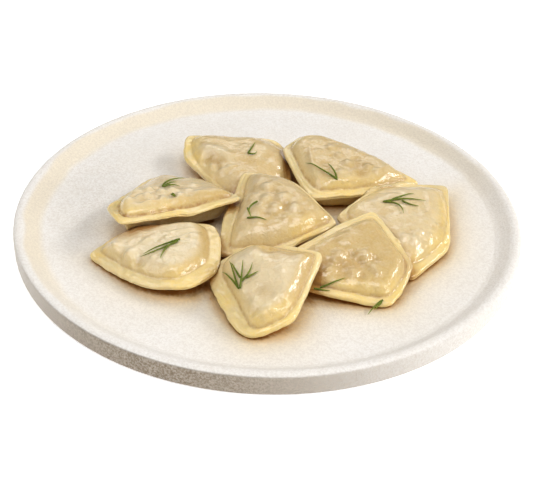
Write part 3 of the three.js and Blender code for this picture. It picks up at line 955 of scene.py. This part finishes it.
DUMPLINGS = [
    Dumpling(
        "dumpling_back_left", (-16, 36.9, 7.7), (5, -95), 1, (5.4, 10.5),
        soft=1.6, tint=0.95, crease=8, seal=0.4, lines=0.2,
        corners=[(-31.2, 24.5), (-31.1, 4), (0.3, -35.5), (28.4, -11.9), (25.6, 17.6), (17.1, 25.5)],
        flange=[4, 1.6, 1.5, 0.3, 2, 1.5], lift=[1, 0, 0, -3, -1, 0],
        lumps=[
            (-21.7, 5.1, 4.6, 1.1), (-16.4, 4.5, 4.6, 1.1), (-11.5, 2.9, 4.6, 1.1), (-6.4, -1.5, 4.2, 0.7),
            (-17.7, -2.2, 4, -1.4), (-12.1, -4.9, 3.4, -1), (-14.9, -7.5, 2.2, 0.9), (-9.2, -13.5, 2.4, 1),
            (-5.4, -10.7, 2.4, 0.6), (-11.3, -10.1, 1.7, -0.6), (14.5, 0.1, 2.4, -0.4), (5.7, -7, 4, -0.4),
            (11.8, 6.7, 4.5, 0.4), (19.1, -4.1, 3, 0.5),
        ],
        folds=[
            (-24.2, 13.4, -24.7, 3.6, 1.4, 0.5), (-7.5, -12.9, 0.8, -7.1, 1.4, 0.5),
        ],
        pools=[(-28, 14, 9), (-26, 2, 6)],
    ),
    Dumpling(
        "dumpling_back_right", (38.4, 28.8, 11), (3, -90), 2, (5.4, 7.6),
        belly=(9, 3), soft=0.8, tint=1.0, crease=6, lines=0.9,
        corners=[(-21.1, 32.7), (-32.2, 15.2), (-16.7, -26.2), (14, -22), (42.6, -8.2), (-0.5, 28.7)],
        flange=[3, 4, 4.2, 3.4, 1.8, 1.2], lift=[0, 2.5, 0, 1, -1, 0],
        lumps=[
            (9.5, -5.1, 8, -0.8), (3, -2.8, 2.7, 1.3), (13.7, -5.9, 2.6, 1.1), (-1.8, 4.2, 2.4, 0.8),
            (18.3, -8.7, 2.2, 0.7), (-5.4, 10.9, 2.8, 0.7), (9.2, -11.9, 2.6, -0.6), (-4.5, 3.6, 1.8, -0.5),
            (8.2, 1.6, 2.2, -0.5), (-0.7, -10.9, 2.6, 0.6), (-8.9, -4.2, 2.8, -0.5), (23.7, -9.4, 2.2, 0.5),
            (-12.5, 6.4, 3, 0.5), (4.9, 9.6, 2.5, 0.4),
        ],
        folds=[
            (-17.3, 11.6, -14.8, -11.2, 1.6, 0.8), (-14.8, -11.2, -10.7, -18.6, 1.6, 0.5),
            (-6.6, -17.2, 15.5, -15.1, 1.5, 0.5),
        ],
        pools=[(2, -25, 13), (20, -22, 9), (40, -10, 9), (-20, 25, 7)],
    ),
    Dumpling(
        "dumpling_right", (68.9, -14.2, 6.2), (7, -45), 3, (5.2, 11), soft=1.6, tint=0.6, crease=8, seal=0.6,
        corners=[(0.8, -41.2), (22.5, -15.4), (26.7, 37.5), (-11.9, 29.4), (-35, 0.5)],
        flange=[4, 1.8, 3, 2, 4], lift=[0, 0, 0, 1, 1],
        lumps=[
            (-32.5, -0.7, 2.6, 1.1), (-2.3, -17.8, 2.6, 1), (2.6, -19.6, 2.4, 0.9), (-5.7, -22.1, 2.2, 0.8),
            (0.4, -13.2, 2.2, -0.5), (-8, -17.3, 2.4, -0.4), (-15.2, 10.2, 4, 0.5), (-10.8, 0.2, 4.5, -0.5),
            (-0.8, -3.1, 4, 0.4), (-21.3, 8.1, 1.4, 0.5), (-17.6, 3.6, 3, -0.3), (6.6, -12.5, 2, 0.5),
            (11.3, -13.5, 1.8, 0.5), (8.9, -20.1, 1.8, 0.5), (13.2, -6.5, 1.6, -0.4),
        ],
        folds=[
            (-30.7, 0.6, -25.9, -3.4, 1.3, -1.2), (-18.8, 18.1, -1.9, 17.8, 0.9, -0.4),
            (-21.2, 13.3, -18.1, 16.2, 1, 0.5),
            (13.4, 23.4, 13.1, 4.2, 2, 0.5), (2, -32.3, 19.8, -12.5, 1, -0.7), (4.8, -8.8, 2, -28, 1.8, 0.5),
        ],
        pools=[(23, 10, 13), (20, -14, 12), (2, -36, 11)],
    ),
    Dumpling(
        "dumpling_front_right", (42.8, -50.9, 8.6), (15, -75), 8, (4.9, 6.6),
        dome=0.9, belly=(6.8, 8), soft=0.7, tint=1.5, lines=0.9,
        corners=[(-25.2, -18.7), (-2.2, -24), (15.1, -25.4), (21.6, -18), (28.4, 1.5), (10.2, 35.9), (-29.9, 7.5)],
        flange=[2.6, 3.9, 2, 2.4, 3.8, 4.1, 3.4], lift=[0, 0, 0, 0, 0, -0.5, -2],
        lumps=[
            (-2.9, -7.1, 9, -1.1), (-8.7, -0.4, 3, 1.5), (3, 0.5, 3.2, 1.5), (-1.8, -10.4, 3, 1.3),
            (7.1, -6.6, 2.8, 1.2), (-12.8, -10, 2.8, 1), (9.4, -9.6, 2.2, 0.7), (-3.2, 0.8, 2, -0.8),
            (-7.1, -6.2, 2.4, -0.7), (1.2, -3.6, 2, -0.7), (7.8, -1.6, 2.4, -0.7), (-14.2, -4, 2.4, -0.7),
            (1.2, -12.8, 2, -0.6), (-7.2, -13.7, 2.4, -0.6), (-4.9, 10.4, 4.6, 0.8), (1.5, 13.8, 4, 0.5),
            (12.9, -5.5, 2.4, 0.5),
        ],
        folds=[
            (-20.1, 5.8, -13.4, 15.2, 1.8, 0.8), (-13.4, 15.2, -4.4, 18.9, 1.8, 0.8), (-4.4, 18.9, 4.5, 19.1, 1.8, 0.6),
            (-11.7, 5.1, 7.1, 8, 2.2, -0.5), (-17, -12, -12.8, -8.8, 1.2, 0.7),
        ],
        pools=[(20, -20, 12), (-2, -24, 11), (-20, -18, 6)],
    ),
    Dumpling(
        "dumpling_centre", (-1.4, -14.9, 13.9), (9, -105), 5, (6.2, 9), belly=(9.4, 9), soft=0.9, tint=1.0, lines=0.8,
        corners=[(-12.3, 31.7), (-18.1, 15.3), (-23.6, -28.5), (3.8, -30.5), (36.8, -10.8), (13.4, 22.8)],
        flange=[3.5, 6, 3, 2, 1.5, 2], lift=[0, -5, -4, -2.5, 0, 0],
        lumps=[
            (6.6, -4.2, 8, -0.8), (0.5, 10.2, 3, 1.3), (8.8, 0.4, 3.2, 1.5), (0.6, -0.2, 2.6, 0.9),
            (5.1, -6.5, 3.1, 1.5), (14.4, -7.1, 3, 1.3), (-1.6, -5.9, 2.4, 0.7), (10.3, -13, 2.2, 0.7),
            (4.2, 5.8, 1.9, -0.6), (11, -4.4, 2, -0.7), (9.6, -7.5, 1.7, -0.5), (0.2, -9.9, 2.2, -0.5),
            (17.5, -11.1, 2, -0.5), (-4.9, 15.3, 2.6, 0.5), (-6.6, 3.9, 2.8, 0.4), (-3.1, -14.4, 3, 0.4),
        ],
        folds=[
            (1.8, -18.8, 23.4, -10.4, 1.6, 0.5), (-9.1, 15, -9.4, -3.1, 1.7, 0.6), (-10.7, -8.9, -13, -16.8, 1.8, 0.6),
            (-1.9, 19.2, 12.5, 6.5, 1.5, 0.5),
        ],
        pools=[(20, -18, 8), (-20, 10, 5)],
    ),
    Dumpling(
        "dumpling_front", (-2, -73.6, 10), (17, -122), 7, (5.7, 7.8), belly=(6.6, 8), soft=0.8, tint=0.3,
        corners=[
            (-25.8, 6.6), (-17.9, -12.6), (-11.4, -24.5), (-6.3, -28.8), (-3.1, -29.1), (15.4, -20.9),
            (29.8, 16.9), (-5.8, 27.2), (-15, 22.8), (-26.9, 17.7),
        ],
        dents=[(3, 24, 8, 3.2)],
        flange=[7.5, 4.5, 2, 1.2, 2.7, 2.6, 2.2, 1.5, 1.5, 3.9], lift=[-2, -1, 0, 0, 0, 0, 0.5, 1.2, 0, -3],
        lumps=[
            (5, 19, 5, -2.4), (15, 16, 6, -1.4), (-4.3, 12.6, 4, 0.5), (1.6, -20.8, 2, 1),
            (-2.2, -21.9, 1.7, 0.7), (-5.7, -19.1, 1.6, 0.5), (4.4, -22.2, 1.7, 0.6), (0.9, -23, 1.4, -0.5),
            (-2.9, -18.1, 2.4, -0.5), (5.8, -18.7, 2.4, 0.5), (9.5, -15, 2.2, -0.4),
            (1.4, -7.8, 5, -0.6), (12.1, 3.5, 3.5, 0.5), (-9.1, 9.8, 3, 0.5),
            (-1.8, -12.6, 2.8, 0.4), (7.5, 9.9, 3, -0.4),
        ],
        folds=[
            (-13.7, 14.1, -10.3, 2.2, 1.8, 0.7), (-10.3, 2.2, -6.8, -11.9, 1.8, 0.6),
            (20.7, 10.9, 15.4, -4.1, 1.7, 0.5),
            (15.4, -4.1, 10.1, -17.2, 1.7, 0.5), (-0.6, 14.9, 14.4, 12.4, 2.2, 0.5),
            (-21, 1, -14.8, -9.5, 0.9, 0.8), (-14.8, -9.5, -8.2, -18, 0.9, 0.7),
        ],
        pools=[(1, -28, 13), (12, -21, 9), (-17, -6, 6)],
    ),
    Dumpling(
        "dumpling_front_left", (-49.8, -46.7, 6), (7, 190), 6, (4.8, 6.8), soft=1.0, tint=0.2, seal=0.7, lines=0.4,
        corners=[
            (-38.6, 5), (-24.1, -10.5), (-9.3, -22.1), (3.4, -26.3), (14.7, -26.9), (22.5, -20.4),
            (28.3, -12.2), (26.9, 17), (23.2, 23.9), (-18.5, 24.7),
        ],
        flange=[3.6, 4.6, 4, 4.6, 6.2, 6, 5.1, 4.8, 1, 2.5],
        lumps=[
            (-24.3, 1.2, 3.8, 2), (-15, -4.3, 3.4, 1.6), (-17.2, -7.6, 3.2, 1.5), (-20.4, -4.2, 2, -1.5),
            (-10.6, -9.9, 2.6, -1.1), (-3.3, -9, 1.5, 0.5), (1.8, 5.6, 1.6, 0.5), (4.4, 9, 1.3, 0.4),
            (-0.4, 2.7, 1.3, 0.35), (8.3, 2.8, 1.5, 0.4), (12, 5.2, 1.4, -0.4), (16.3, -2.4, 2.4, 0.5),
            (4.4, -16.6, 4, 0.6), (14.5, -14.6, 3, 0.4),
        ],
        folds=[
            (-20.2, -1.6, -18.8, -9.1, 1.3, -1), (-10.6, -3.4, -11.6, -12.1, 1.8, -0.9),
            (-11.9, 0.5, -5.3, 7.7, 1.6, 0.8), (-0.1, 9.5, 15.8, 12.7, 0.9, 0.4),
            (2.9, 4.9, 17.8, 11.1, 0.8, -0.4), (5, 2.2, 17.3, 5.7, 0.8, 0.35),
            (7.2, -1.2, 13.8, 0.2, 0.7, -0.3),
        ],
        pools=[(11, -25, 10), (23, -18, 8), (-34, 2, 6)],
    ),
    Dumpling(
        "dumpling_left", (-50.8, -6.2, 12.1), (10, 97), 4, (4.2, 5.8),
        dome=1.8, belly=(8.5, 3.5), soft=0.3, tint=0.6, seal=1.5, lines=0.0,
        corners=[(-30.8, -9.6), (-21.3, -29.3), (37.8, -5), (21.9, 21), (-10.4, 31.4)],
        flange=[4, 4.3, 3, 3, 4], lift=[0, 0, 3, 0, 0],
        lumps=[
            (-19.1, -13.6, 2.9, 1.5), (-16, -2.1, 2.2, 0.9), (-14.2, -8.7, 1.9, 0.7), (-10.1, -1.1, 2.5, 1.3),
            (-10.1, -8.2, 2.2, 1.2), (-6.6, -0, 1.8, -0.7), (-3, -3.9, 2.4, 1.2), (-1.8, -9.6, 2, 0.8),
            (2.1, -0.4, 2.2, 0.9), (1.4, -6.2, 1.8, -0.6), (6.5, -6.7, 2.4, 0.9), (10.3, -1.2, 2.6, 0.7),
            (14.7, -4.4, 2.4, 0.7), (12.1, 5.3, 2.6, 0.6), (18.4, -3.6, 2.4, 0.6), (-16.5, -8.2, 1.7, -0.6),
            (-11.5, -12.8, 2.2, -0.7), (-5.7, -11.2, 2, -0.5), (4.6, 3.3, 2.2, -0.5),
        ],
        folds=[
            (-15.4, -17.8, -0.6, -11.8, 1.5, 0.5), (-0.6, -11.8, 27.4, -3.7, 1.5, 0.5),
            (-16.1, -15.6, -8.2, -11.1, 1.5, -0.5), (-8.2, -11.1, 22.9, -3.6, 1.6, -0.4),
        ],
        pools=[(-22, -24, 8), (6, -20, 8), (26, -15, 8), (-26, -8, 6)],
    ),
]


# ------------------------------------------------------------------------------------------------ plate
@dataclass
class Plate:
    """The stoneware plate: a flat disc with a low rounded rim."""

    radius: float = 130.0
    height: float = 10.5
    segments: int = 500
    pitch: float = 1.25  # mm between rings on the floor
    unevenness: float = 0.35  # mm of small and of broad relief
    wander: float = 0.5
    finish: StonewareFinish = field(default_factory=StonewareFinish)

    FLOOR = 5.0  # how high the floor lies
    SHADED = -110.0  # where the painted shade on the wall is darkest, in degrees from +X, and how far that spreads
    SPREAD = 42.0

    def section(self) -> np.ndarray:
        """The half section from the middle of the floor over the rim and under to the middle again.

        Returns:
            One (r, z) row for each point.
        """
        r, h, f = self.radius, self.height, self.FLOOR
        inner = [(r - 17, f), (r - 13, f + 0.2), (r - 10.6, f + 1.1), (r - 8.2, f + 2.8), (r - 5.8, h - 0.9)]
        crown = [(r - 4.2, h - 0.15), (r - 3, h), (r - 1.6, h - 0.15), (r - 0.6, h - 0.7), (r - 0.1, h - 1.6)]
        wall = [(r, h - 2.8), (r, 0.9), (r - 0.4, 0.2), (r - 1.4, 0.0), (r - 6, 0.0)]
        points = np.array([*inner, *crown, *wall])
        run = np.concatenate([[0], np.cumsum(np.linalg.norm(np.diff(points, axis=0), axis=1))])
        fine = np.linspace(0, run[-1], 110)
        rim = np.column_stack([np.interp(fine, run, points[:, 0]), np.interp(fine, run, points[:, 1])])
        for _ in range(3):
            rim[1:-1] = (rim[:-2] + 2 * rim[1:-1] + rim[2:]) / 4
        floor = [(s, f) for s in np.arange(0, r - 17, self.pitch)]
        foot = [(s, 0.0) for s in np.linspace(r - 8, r - 30, 6)] + [(s, 1.2) for s in np.linspace(r - 31.5, 0, 22)]
        return np.array([*floor, *rim.tolist(), *foot])

    def recipe(self, material: bpy.types.Material) -> Recipe:
        """The tree that turns the section round the middle and lets the surface wander a little.

        Args:
            material: The plate's finish.

        Returns:
            The recipe, for the section as a chain of edges.
        """
        made = Recipe("turned_plate", segments="NodeSocketInt", unevenness="NodeSocketFloat", wander="NodeSocketFloat")
        tree = made.tree
        section = made.given("Geometry")
        size = tree.add("GeometryNodeAttributeDomainSize", {"Geometry": section}, component="MESH")
        count = size.outputs["Point Count"]
        around = tree.sum("ADD", made.given("segments"), 1.0)
        grid = tree.add(
            "GeometryNodeMeshGrid", {"Size X": 1.0, "Size Y": 1.0, "Vertices X": count, "Vertices Y": around}
        )
        place = tree.add("GeometryNodeInputPosition").outputs[0]
        split = tree.add("ShaderNodeSeparateXYZ", {"Vector": place})
        along = tree.sum("MULTIPLY", tree.sum("ADD", split.outputs["X"], 0.5), tree.sum("SUBTRACT", count, 1.0))
        ring = tree.add("FunctionNodeFloatToInt", {"Float": along}, rounding_mode="ROUND").outputs[0]
        sample = tree.add(
            "GeometryNodeSampleIndex", {"Geometry": section, "Value": place, "Index": ring},
            data_type="FLOAT_VECTOR", domain="POINT",
        )
        cut = tree.add("ShaderNodeSeparateXYZ", {"Vector": sample.outputs[0]})
        angle = tree.sum("MULTIPLY", tree.sum("ADD", split.outputs["Y"], 0.5), 2 * math.pi)
        x = tree.sum("MULTIPLY", cut.outputs["X"], tree.sum("COSINE", angle))
        y = tree.sum("MULTIPLY", cut.outputs["X"], tree.sum("SINE", angle))
        turned = tree.add("ShaderNodeCombineXYZ", {"X": x, "Y": y, "Z": cut.outputs["Z"]})
        swept = tree.add("GeometryNodeSetPosition", {"Geometry": grid.outputs[0], "Position": turned.outputs[0]})
        closed = tree.add("GeometryNodeMergeByDistance", {"Geometry": swept.outputs[0], "Distance": 0.00001})
        here = tree.add("GeometryNodeInputPosition").outputs[0]
        broad = tree.add("ShaderNodeTexNoise", {"Vector": here, "Scale": 1 / (34 * MM), "Detail": 1.5})
        small = tree.add("ShaderNodeTexNoise", {"Vector": here, "Scale": 1 / (4.5 * MM), "Detail": 2.0})
        low = tree.sum("MULTIPLY", tree.sum("SUBTRACT", broad.outputs["Fac"], 0.5), made.given("wander"))
        fine = tree.sum("MULTIPLY", tree.sum("SUBTRACT", small.outputs["Fac"], 0.5), made.given("unevenness"))
        normal = tree.add("GeometryNodeInputNormal").outputs[0]
        reliefs = {"Vector": normal, "Scale": tree.sum("ADD", low, fine)}
        step = tree.add("ShaderNodeVectorMath", reliefs, operation="SCALE")
        above = tree.add("ShaderNodeSeparateXYZ", {"Vector": here}).outputs["Z"]
        stands = tree.sum("GREATER_THAN", above, 0.0012)
        shaped = tree.add(
            "GeometryNodeSetPosition", {"Geometry": closed.outputs[0], "Selection": stands, "Offset": step.outputs[0]}
        )
        made.end(shaped.outputs[0], material)
        return made

    def build(self, pile: Pile) -> bpy.types.Object:
        """Makes the plate and marks where butter has run, where painted shade with butter gathers between the
        dumplings, and where the wall is painted darker in front as shade.

        Args:
            pile: The dumplings on it.

        Returns:
            The piece.
        """
        seed = bpy.data.meshes.new("plate_section")
        rows = [(r, 0.0, z) for r, z in self.section() * MM]
        seed.from_pydata(rows, [(i, i + 1) for i in range(len(rows) - 1)], [])
        made = self.recipe(self.finish.material()).make(
            seed, "plate_turned", segments=self.segments, unevenness=self.unevenness * MM, wander=self.wander * MM
        )
        mesh = made.data
        points = np.zeros(len(mesh.vertices) * 3, np.float32)
        mesh.vertices.foreach_get("co", points)
        points = points.reshape(-1, 3) / MM
        x, y, z = points.T
        r, h = self.radius, self.height
        above = z > 3
        out = np.hypot(x, y)
        stray = 1.5 * clouds(points, 14.0, 31)
        away = np.min([np.maximum(outside(points, d), 0) for d in DUMPLINGS], axis=0)
        lean = 0.3 + 0.55 * ease(x * 0.8 - y, -60.0, 60.0)
        bearing = (np.degrees(np.arctan2(y, x)) - self.SHADED + 180) % 360 - 180
        wall = ease(out, r - 1.6, r - 0.5) * (1 - ease(z, h - 1.2, h - 0.3))
        slope = ease(out + stray, r - 16, r - 11) * (1 - ease(out + stray, r - 6, r - 3.5))
        mark(
            mesh,
            butter=np.exp(-away / 8.0) * lean * above,
            # painted shade with butter, by how hemmed in each point is by the dumplings
            pool=0.85 * ease(pile.crowding(points, above), 0.1, 0.85),
            # painted shade on the outer wall, darkest at SHADED; it also coarsens the grit there
            wall=wall * np.exp(-((bearing / self.SPREAD) ** 2)),
            slope=slope * ease(y - 0.6 * x + 6 * stray, -90.0, 40.0) * above,
            dusty=0.25 * np.exp(-(((x + 92) / 26) ** 2) - ((y - 14) / 40) ** 2) * above,
        )
        LOG.info("plate: %d points", len(points))
        settle(made, "plate")
        return made


# ------------------------------------------------------------------------------------------------ dill
@dataclass
class Sprig:
    """A sprig of dill that lies on the dumpling `on`.

    Each needle is (dx, dy, heading, length, bow) from the sprig's own start at `at`.
    """

    name: str
    on: str
    at: Pair
    needles: list[tuple[float, float, float, float, float]]

    SAG = 0.4  # how steeply a needle may hang down
    STEP = 0.8  # mm between the points of a needle
    FEEL = ((0.0, 0.0), (0.5, 0.0), (-0.5, 0.0), (0.0, 0.5), (0.0, -0.5))  # mm beside a point where it may rest too

    def spines(self, tree: BVHTree, thickness: float) -> list[np.ndarray]:
        """The needles' middle lines, lying on the high places under them and bridging the hollows.

        Args:
            tree: What the sprig lies on.
            thickness: A needle's thickness.

        Returns:
            One array of points for each needle, in millimetres.
        """
        made = []
        for dx, dy, heading, length, bow in self.needles:
            turn = math.radians(heading)
            count = max(5, round(length / self.STEP))
            share = np.linspace(0, 1, count)
            side = 4 * bow * share * (1 - share)
            x = self.at[0] + dx + math.cos(turn) * length * share - math.sin(turn) * side
            y = self.at[1] + dy + math.sin(turn) * length * share + math.cos(turn) * side
            z = np.array([max(Pile.height(tree, a + p, b + q) for p, q in self.FEEL) for a, b in zip(x, y)])
            z += GAP * 0.4 + thickness / 2
            for i in range(count):
                for p in range(i):
                    for q in range(i + 1, count):
                        z[i] = max(z[i], z[p] + (z[q] - z[p]) * (i - p) / (q - p))
            for i in range(1, count):
                z[i] = max(z[i], z[i - 1] - self.SAG * length / (count - 1))
            made.append(np.column_stack([x, y, z]))
        return made


@dataclass
class Garnish:
    """All the dill on the plate."""

    thickness: float = 1.05  # a needle's, at its foot
    points: int = 24
    sides: int = 10
    finish: DillFinish = field(default_factory=DillFinish)

    def recipe(self, material: bpy.types.Material) -> Recipe:
        """The tree that sweeps a tapering round along each spine.

        Args:
            material: The dill's finish.

        Returns:
            The recipe, for spines as chains of edges with half the thickness as `half`.
        """
        made = Recipe("dill_needles", points="NodeSocketInt", sides="NodeSocketInt")
        tree = made.tree
        curve = tree.add("GeometryNodeMeshToCurve", {"Mesh": made.given("Geometry")}).outputs[0]
        curve = tree.add("GeometryNodeCurveSplineType", {"Curve": curve}, spline_type="CATMULL_ROM").outputs[0]
        curve = tree.add("GeometryNodeResampleCurve", {"Curve": curve, "Count": made.given("points")}).outputs[0]
        ring = tree.add("GeometryNodeCurvePrimitiveCircle", {"Resolution": made.given("sides"), "Radius": 1.0})
        half = tree.add("GeometryNodeInputNamedAttribute", {"Name": "half"}, data_type="FLOAT").outputs["Attribute"]
        swept = tree.add(
            "GeometryNodeCurveToMesh",
            {"Curve": curve, "Profile Curve": ring.outputs[0], "Scale": half, "Fill Caps": True},
        )
        made.end(swept.outputs[0], material)
        return made

    def build(self, sprigs: list[Sprig], pile: Pile) -> None:
        """Makes every sprig.

        Args:
            sprigs: The sprigs.
            pile: What they lie on.
        """
        recipe = self.recipe(self.finish.material())
        for sprig in sprigs:
            spines = sprig.spines(pile.trees[sprig.on], self.thickness)
            corners, edges, half, tip = [], [], [], []
            for spine in spines:
                start = len(corners)
                corners += (spine * MM).tolist()
                edges += [(start + i, start + i + 1) for i in range(len(spine) - 1)]
                share = np.linspace(0, 1, len(spine))
                taper = np.sqrt(np.clip(1 - share**2.2, 0.02, 1)) * (0.72 + 0.28 * (1 - share))
                taper *= ease(share, -0.12, 0.05)
                half += (taper * self.thickness / 2 * MM).tolist()
                tip += share.tolist()
            seed = bpy.data.meshes.new(sprig.name)
            seed.from_pydata(corners, edges, [])
            mark(seed, half=half, tip=tip)
            piece = recipe.make(seed, sprig.name.replace("dill", "sprig"), points=self.points, sides=self.sides)
            settle(piece, sprig.name)
            LOG.info("%s: %d needles, %d points", sprig.name, len(spines), len(piece.data.vertices))


SPRIGS = [
    Sprig(
        "dill_back_left", "dumpling_back_left", (-11.7, 36.5),
        [(0, 0, 72, 11.7, -0.1), (0, 0, 30, 5.5, -1.9)],
    ),
    Sprig(
        "dill_back_right", "dumpling_back_right", (35.4, 11.1),
        [(0, 0, 137, 22.3, -0.1), (0, 0, 109, 14.2, -0.7)],
    ),
    Sprig(
        "dill_right", "dumpling_right", (58.3, -7),
        [(0, 0, 11, 22.9, 1.3), (4.7, 2.1, 29, 13.5, 0.4), (9.8, 1.9, -16, 8.9, -1.1), (0, 0, -42, 13.1, 4.1)],
    ),
    Sprig(
        "dill_left", "dumpling_left", (-54.1, -3.1),
        [(0, 0, 48, 15.7, 2.9), (1.2, 0.6, 45, 7.6, 1.2), (0.6, -0.7, 16, 8.5, 1.7)],
    ),
    Sprig(
        "dill_left_scrap", "dumpling_left", (-49, -11.3),
        [(0, 0, -61, 4.3, 0.3), (0.8, 0.3, -61, 3.6, 0)],
    ),
    Sprig(
        "dill_centre", "dumpling_centre", (-5.4, -18.9),
        [(0, 0, -102, 11.1, -2.8), (-4.8, -3.4, -70, 4.9, -0.2), (-4.8, -10.6, -11, 10, 0.2)],
    ),
    Sprig(
        "dill_front_left", "dumpling_front_left", (-41.9, -44.8),
        [(0, 0, -153, 19.1, -0.6), (-0.9, -1, -153, 19.6, 1.1), (-3.6, -2.6, -114, 11.8, -1)],
    ),
    Sprig(
        "dill_front", "dumpling_front", (-11.7, -79.8),
        [
            (0, 0, 87, 14.2, -0.1), (-0.7, 0.5, 117, 18.7, -0.3), (-1, 1, 106, 17, 0),
            (-0.2, 5.5, 116, 10.3, 0.1), (0.3, 3.3, 60, 9.8, -1), (2.5, 4.6, 15, 5.8, 0),
        ],
    ),
    Sprig(
        "dill_front_right", "dumpling_front_right", (25.3, -69.5),
        [(0, 0, 18, 12.4, -0.5), (-2.8, -0.3, -6, 7.5, -0.3)],
    ),
    Sprig(
        "dill_edge", "dumpling_front_right", (54.7, -73.3),
        [(0, 0, -137, 9.9, -0.5), (-0.5, -0.8, -135, 5.1, 0.1)],
    ),
]


# ------------------------------------------------------------------------------------------------ studio
@dataclass(frozen=True)
class Lamp:
    """A soft box: where it hangs, in degrees and metres, how big it is, and its power in watts."""

    name: str
    azimuth: float
    elevation: float
    distance: float
    size: Pair
    power: float
    colour: tuple[float, float, float] = (1.0, 1.0, 1.0)

    def hang(self) -> None:
        """Makes the light, aimed at the plate's middle."""
        data = bpy.data.lights.new(self.name, "AREA")
        data.shape = "RECTANGLE"
        data.size, data.size_y = self.size
        data.energy = self.power
        data.color = self.colour
        made = bpy.data.objects.new(self.name, data)
        a, e = math.radians(self.azimuth), math.radians(self.elevation)
        away = Vector((math.cos(a) * math.cos(e), math.sin(a) * math.cos(e), math.sin(e)))
        made.location = away * self.distance
        made.rotation_euler = away.to_track_quat("Z", "Y").to_euler()
        bpy.context.scene.collection.objects.link(made)


@dataclass
class Studio:
    """The pale floor, the sky, the lights and the camera, which looks from `eye` in metres."""

    eye: tuple[float, float, float] = (0.0, -0.48347, 0.32937)
    right: tuple[float, float, float] = (0.9995676, 0.0173506, 0.0237396)
    up: tuple[float, float, float] = (-0.0293987, 0.5738983, 0.8183987)
    lens: float = 75.35
    lamps: list[Lamp] = field(
        default_factory=lambda: [
            Lamp("key_right", 12, 33, 2.2, (0.9, 0.4), 20.0, (1.0, 0.99, 0.975)),
            Lamp("strip_right", -24, 38, 2.2, (0.5, 0.4), 9.0, (1.0, 0.99, 0.975)),
            Lamp("low_right", -28, 14, 2.2, (1.2, 0.35), 8.0, (1.0, 0.99, 0.975)),
            Lamp("back", 100, 40, 1.8, (1.4, 0.5), 5.0),
            Lamp("top", -90, 68, 1.5, (0.9, 0.7), 9.0, (1.0, 0.995, 0.99)),
            Lamp("fill_left", 205, 42, 1.4, (1.2, 0.8), 7.2, (1.0, 0.985, 0.96)),
        ]
    )
    sky: float = 0.11

    FLOOR_REACH = 3000.0  # mm from the middle to the floor's sides

    def floor(self) -> None:
        """A plain pale floor under the plate."""
        material, tree, shader = new_material("floor_pale")
        tree.fit(shader, {
            "Base Color": (0.95, 0.95, 0.95, 1.0),
            "Emission Color": (1.0, 1.0, 1.0, 1.0),
            "Emission Strength": 0.36,
            "Roughness": 0.9,
            "Specular IOR Level": 0.1,
        })
        corners = np.array([[-1, -1, 0], [1, -1, 0], [1, 1, 0], [-1, 1, 0]]) * self.FLOOR_REACH
        made = mesh_of("floor", corners, [[0, 1, 2, 3]], material)

    def build(self) -> None:
        """Makes the floor, the sky, the lights and the camera."""
        self.floor()
        world = bpy.data.worlds.new("studio")
        world.use_nodes = True
        background = world.node_tree.nodes["Background"]
        background.inputs["Color"].default_value = (1.0, 0.985, 0.96, 1.0)
        background.inputs["Strength"].default_value = self.sky
        scene = bpy.context.scene
        scene.world = world
        scene.view_settings.view_transform = "Standard"
        for lamp in self.lamps:
            lamp.hang()
        data = bpy.data.cameras.new("camera")
        data.lens = self.lens
        data.sensor_width = 36.0
        data.clip_start, data.clip_end = 0.05, 20.0
        camera = bpy.data.objects.new("camera", data)
        right, up = Vector(self.right), Vector(self.up)
        back = right.cross(up)
        rows = [[right[i], up[i], back[i], self.eye[i]] for i in range(3)]
        camera.matrix_world = Matrix([*rows, [0, 0, 0, 1]])
        scene.collection.objects.link(camera)
        scene.camera = camera


def main() -> None:
    """Builds the plate, the dumplings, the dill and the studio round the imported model."""
    logging.basicConfig(level=logging.INFO, format="%(name)s: %(message)s")
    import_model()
    Studio().build()
    pile = Pile()
    dough = pile.finish.material()
    pieces = {dumpling.name: pile.lay(dumpling, dough) for dumpling in DUMPLINGS}
    pile.soak(pieces)
    Plate().build(pile)
    Garnish().build(SPRIGS, pile)


if __name__ == "__main__":
    main()
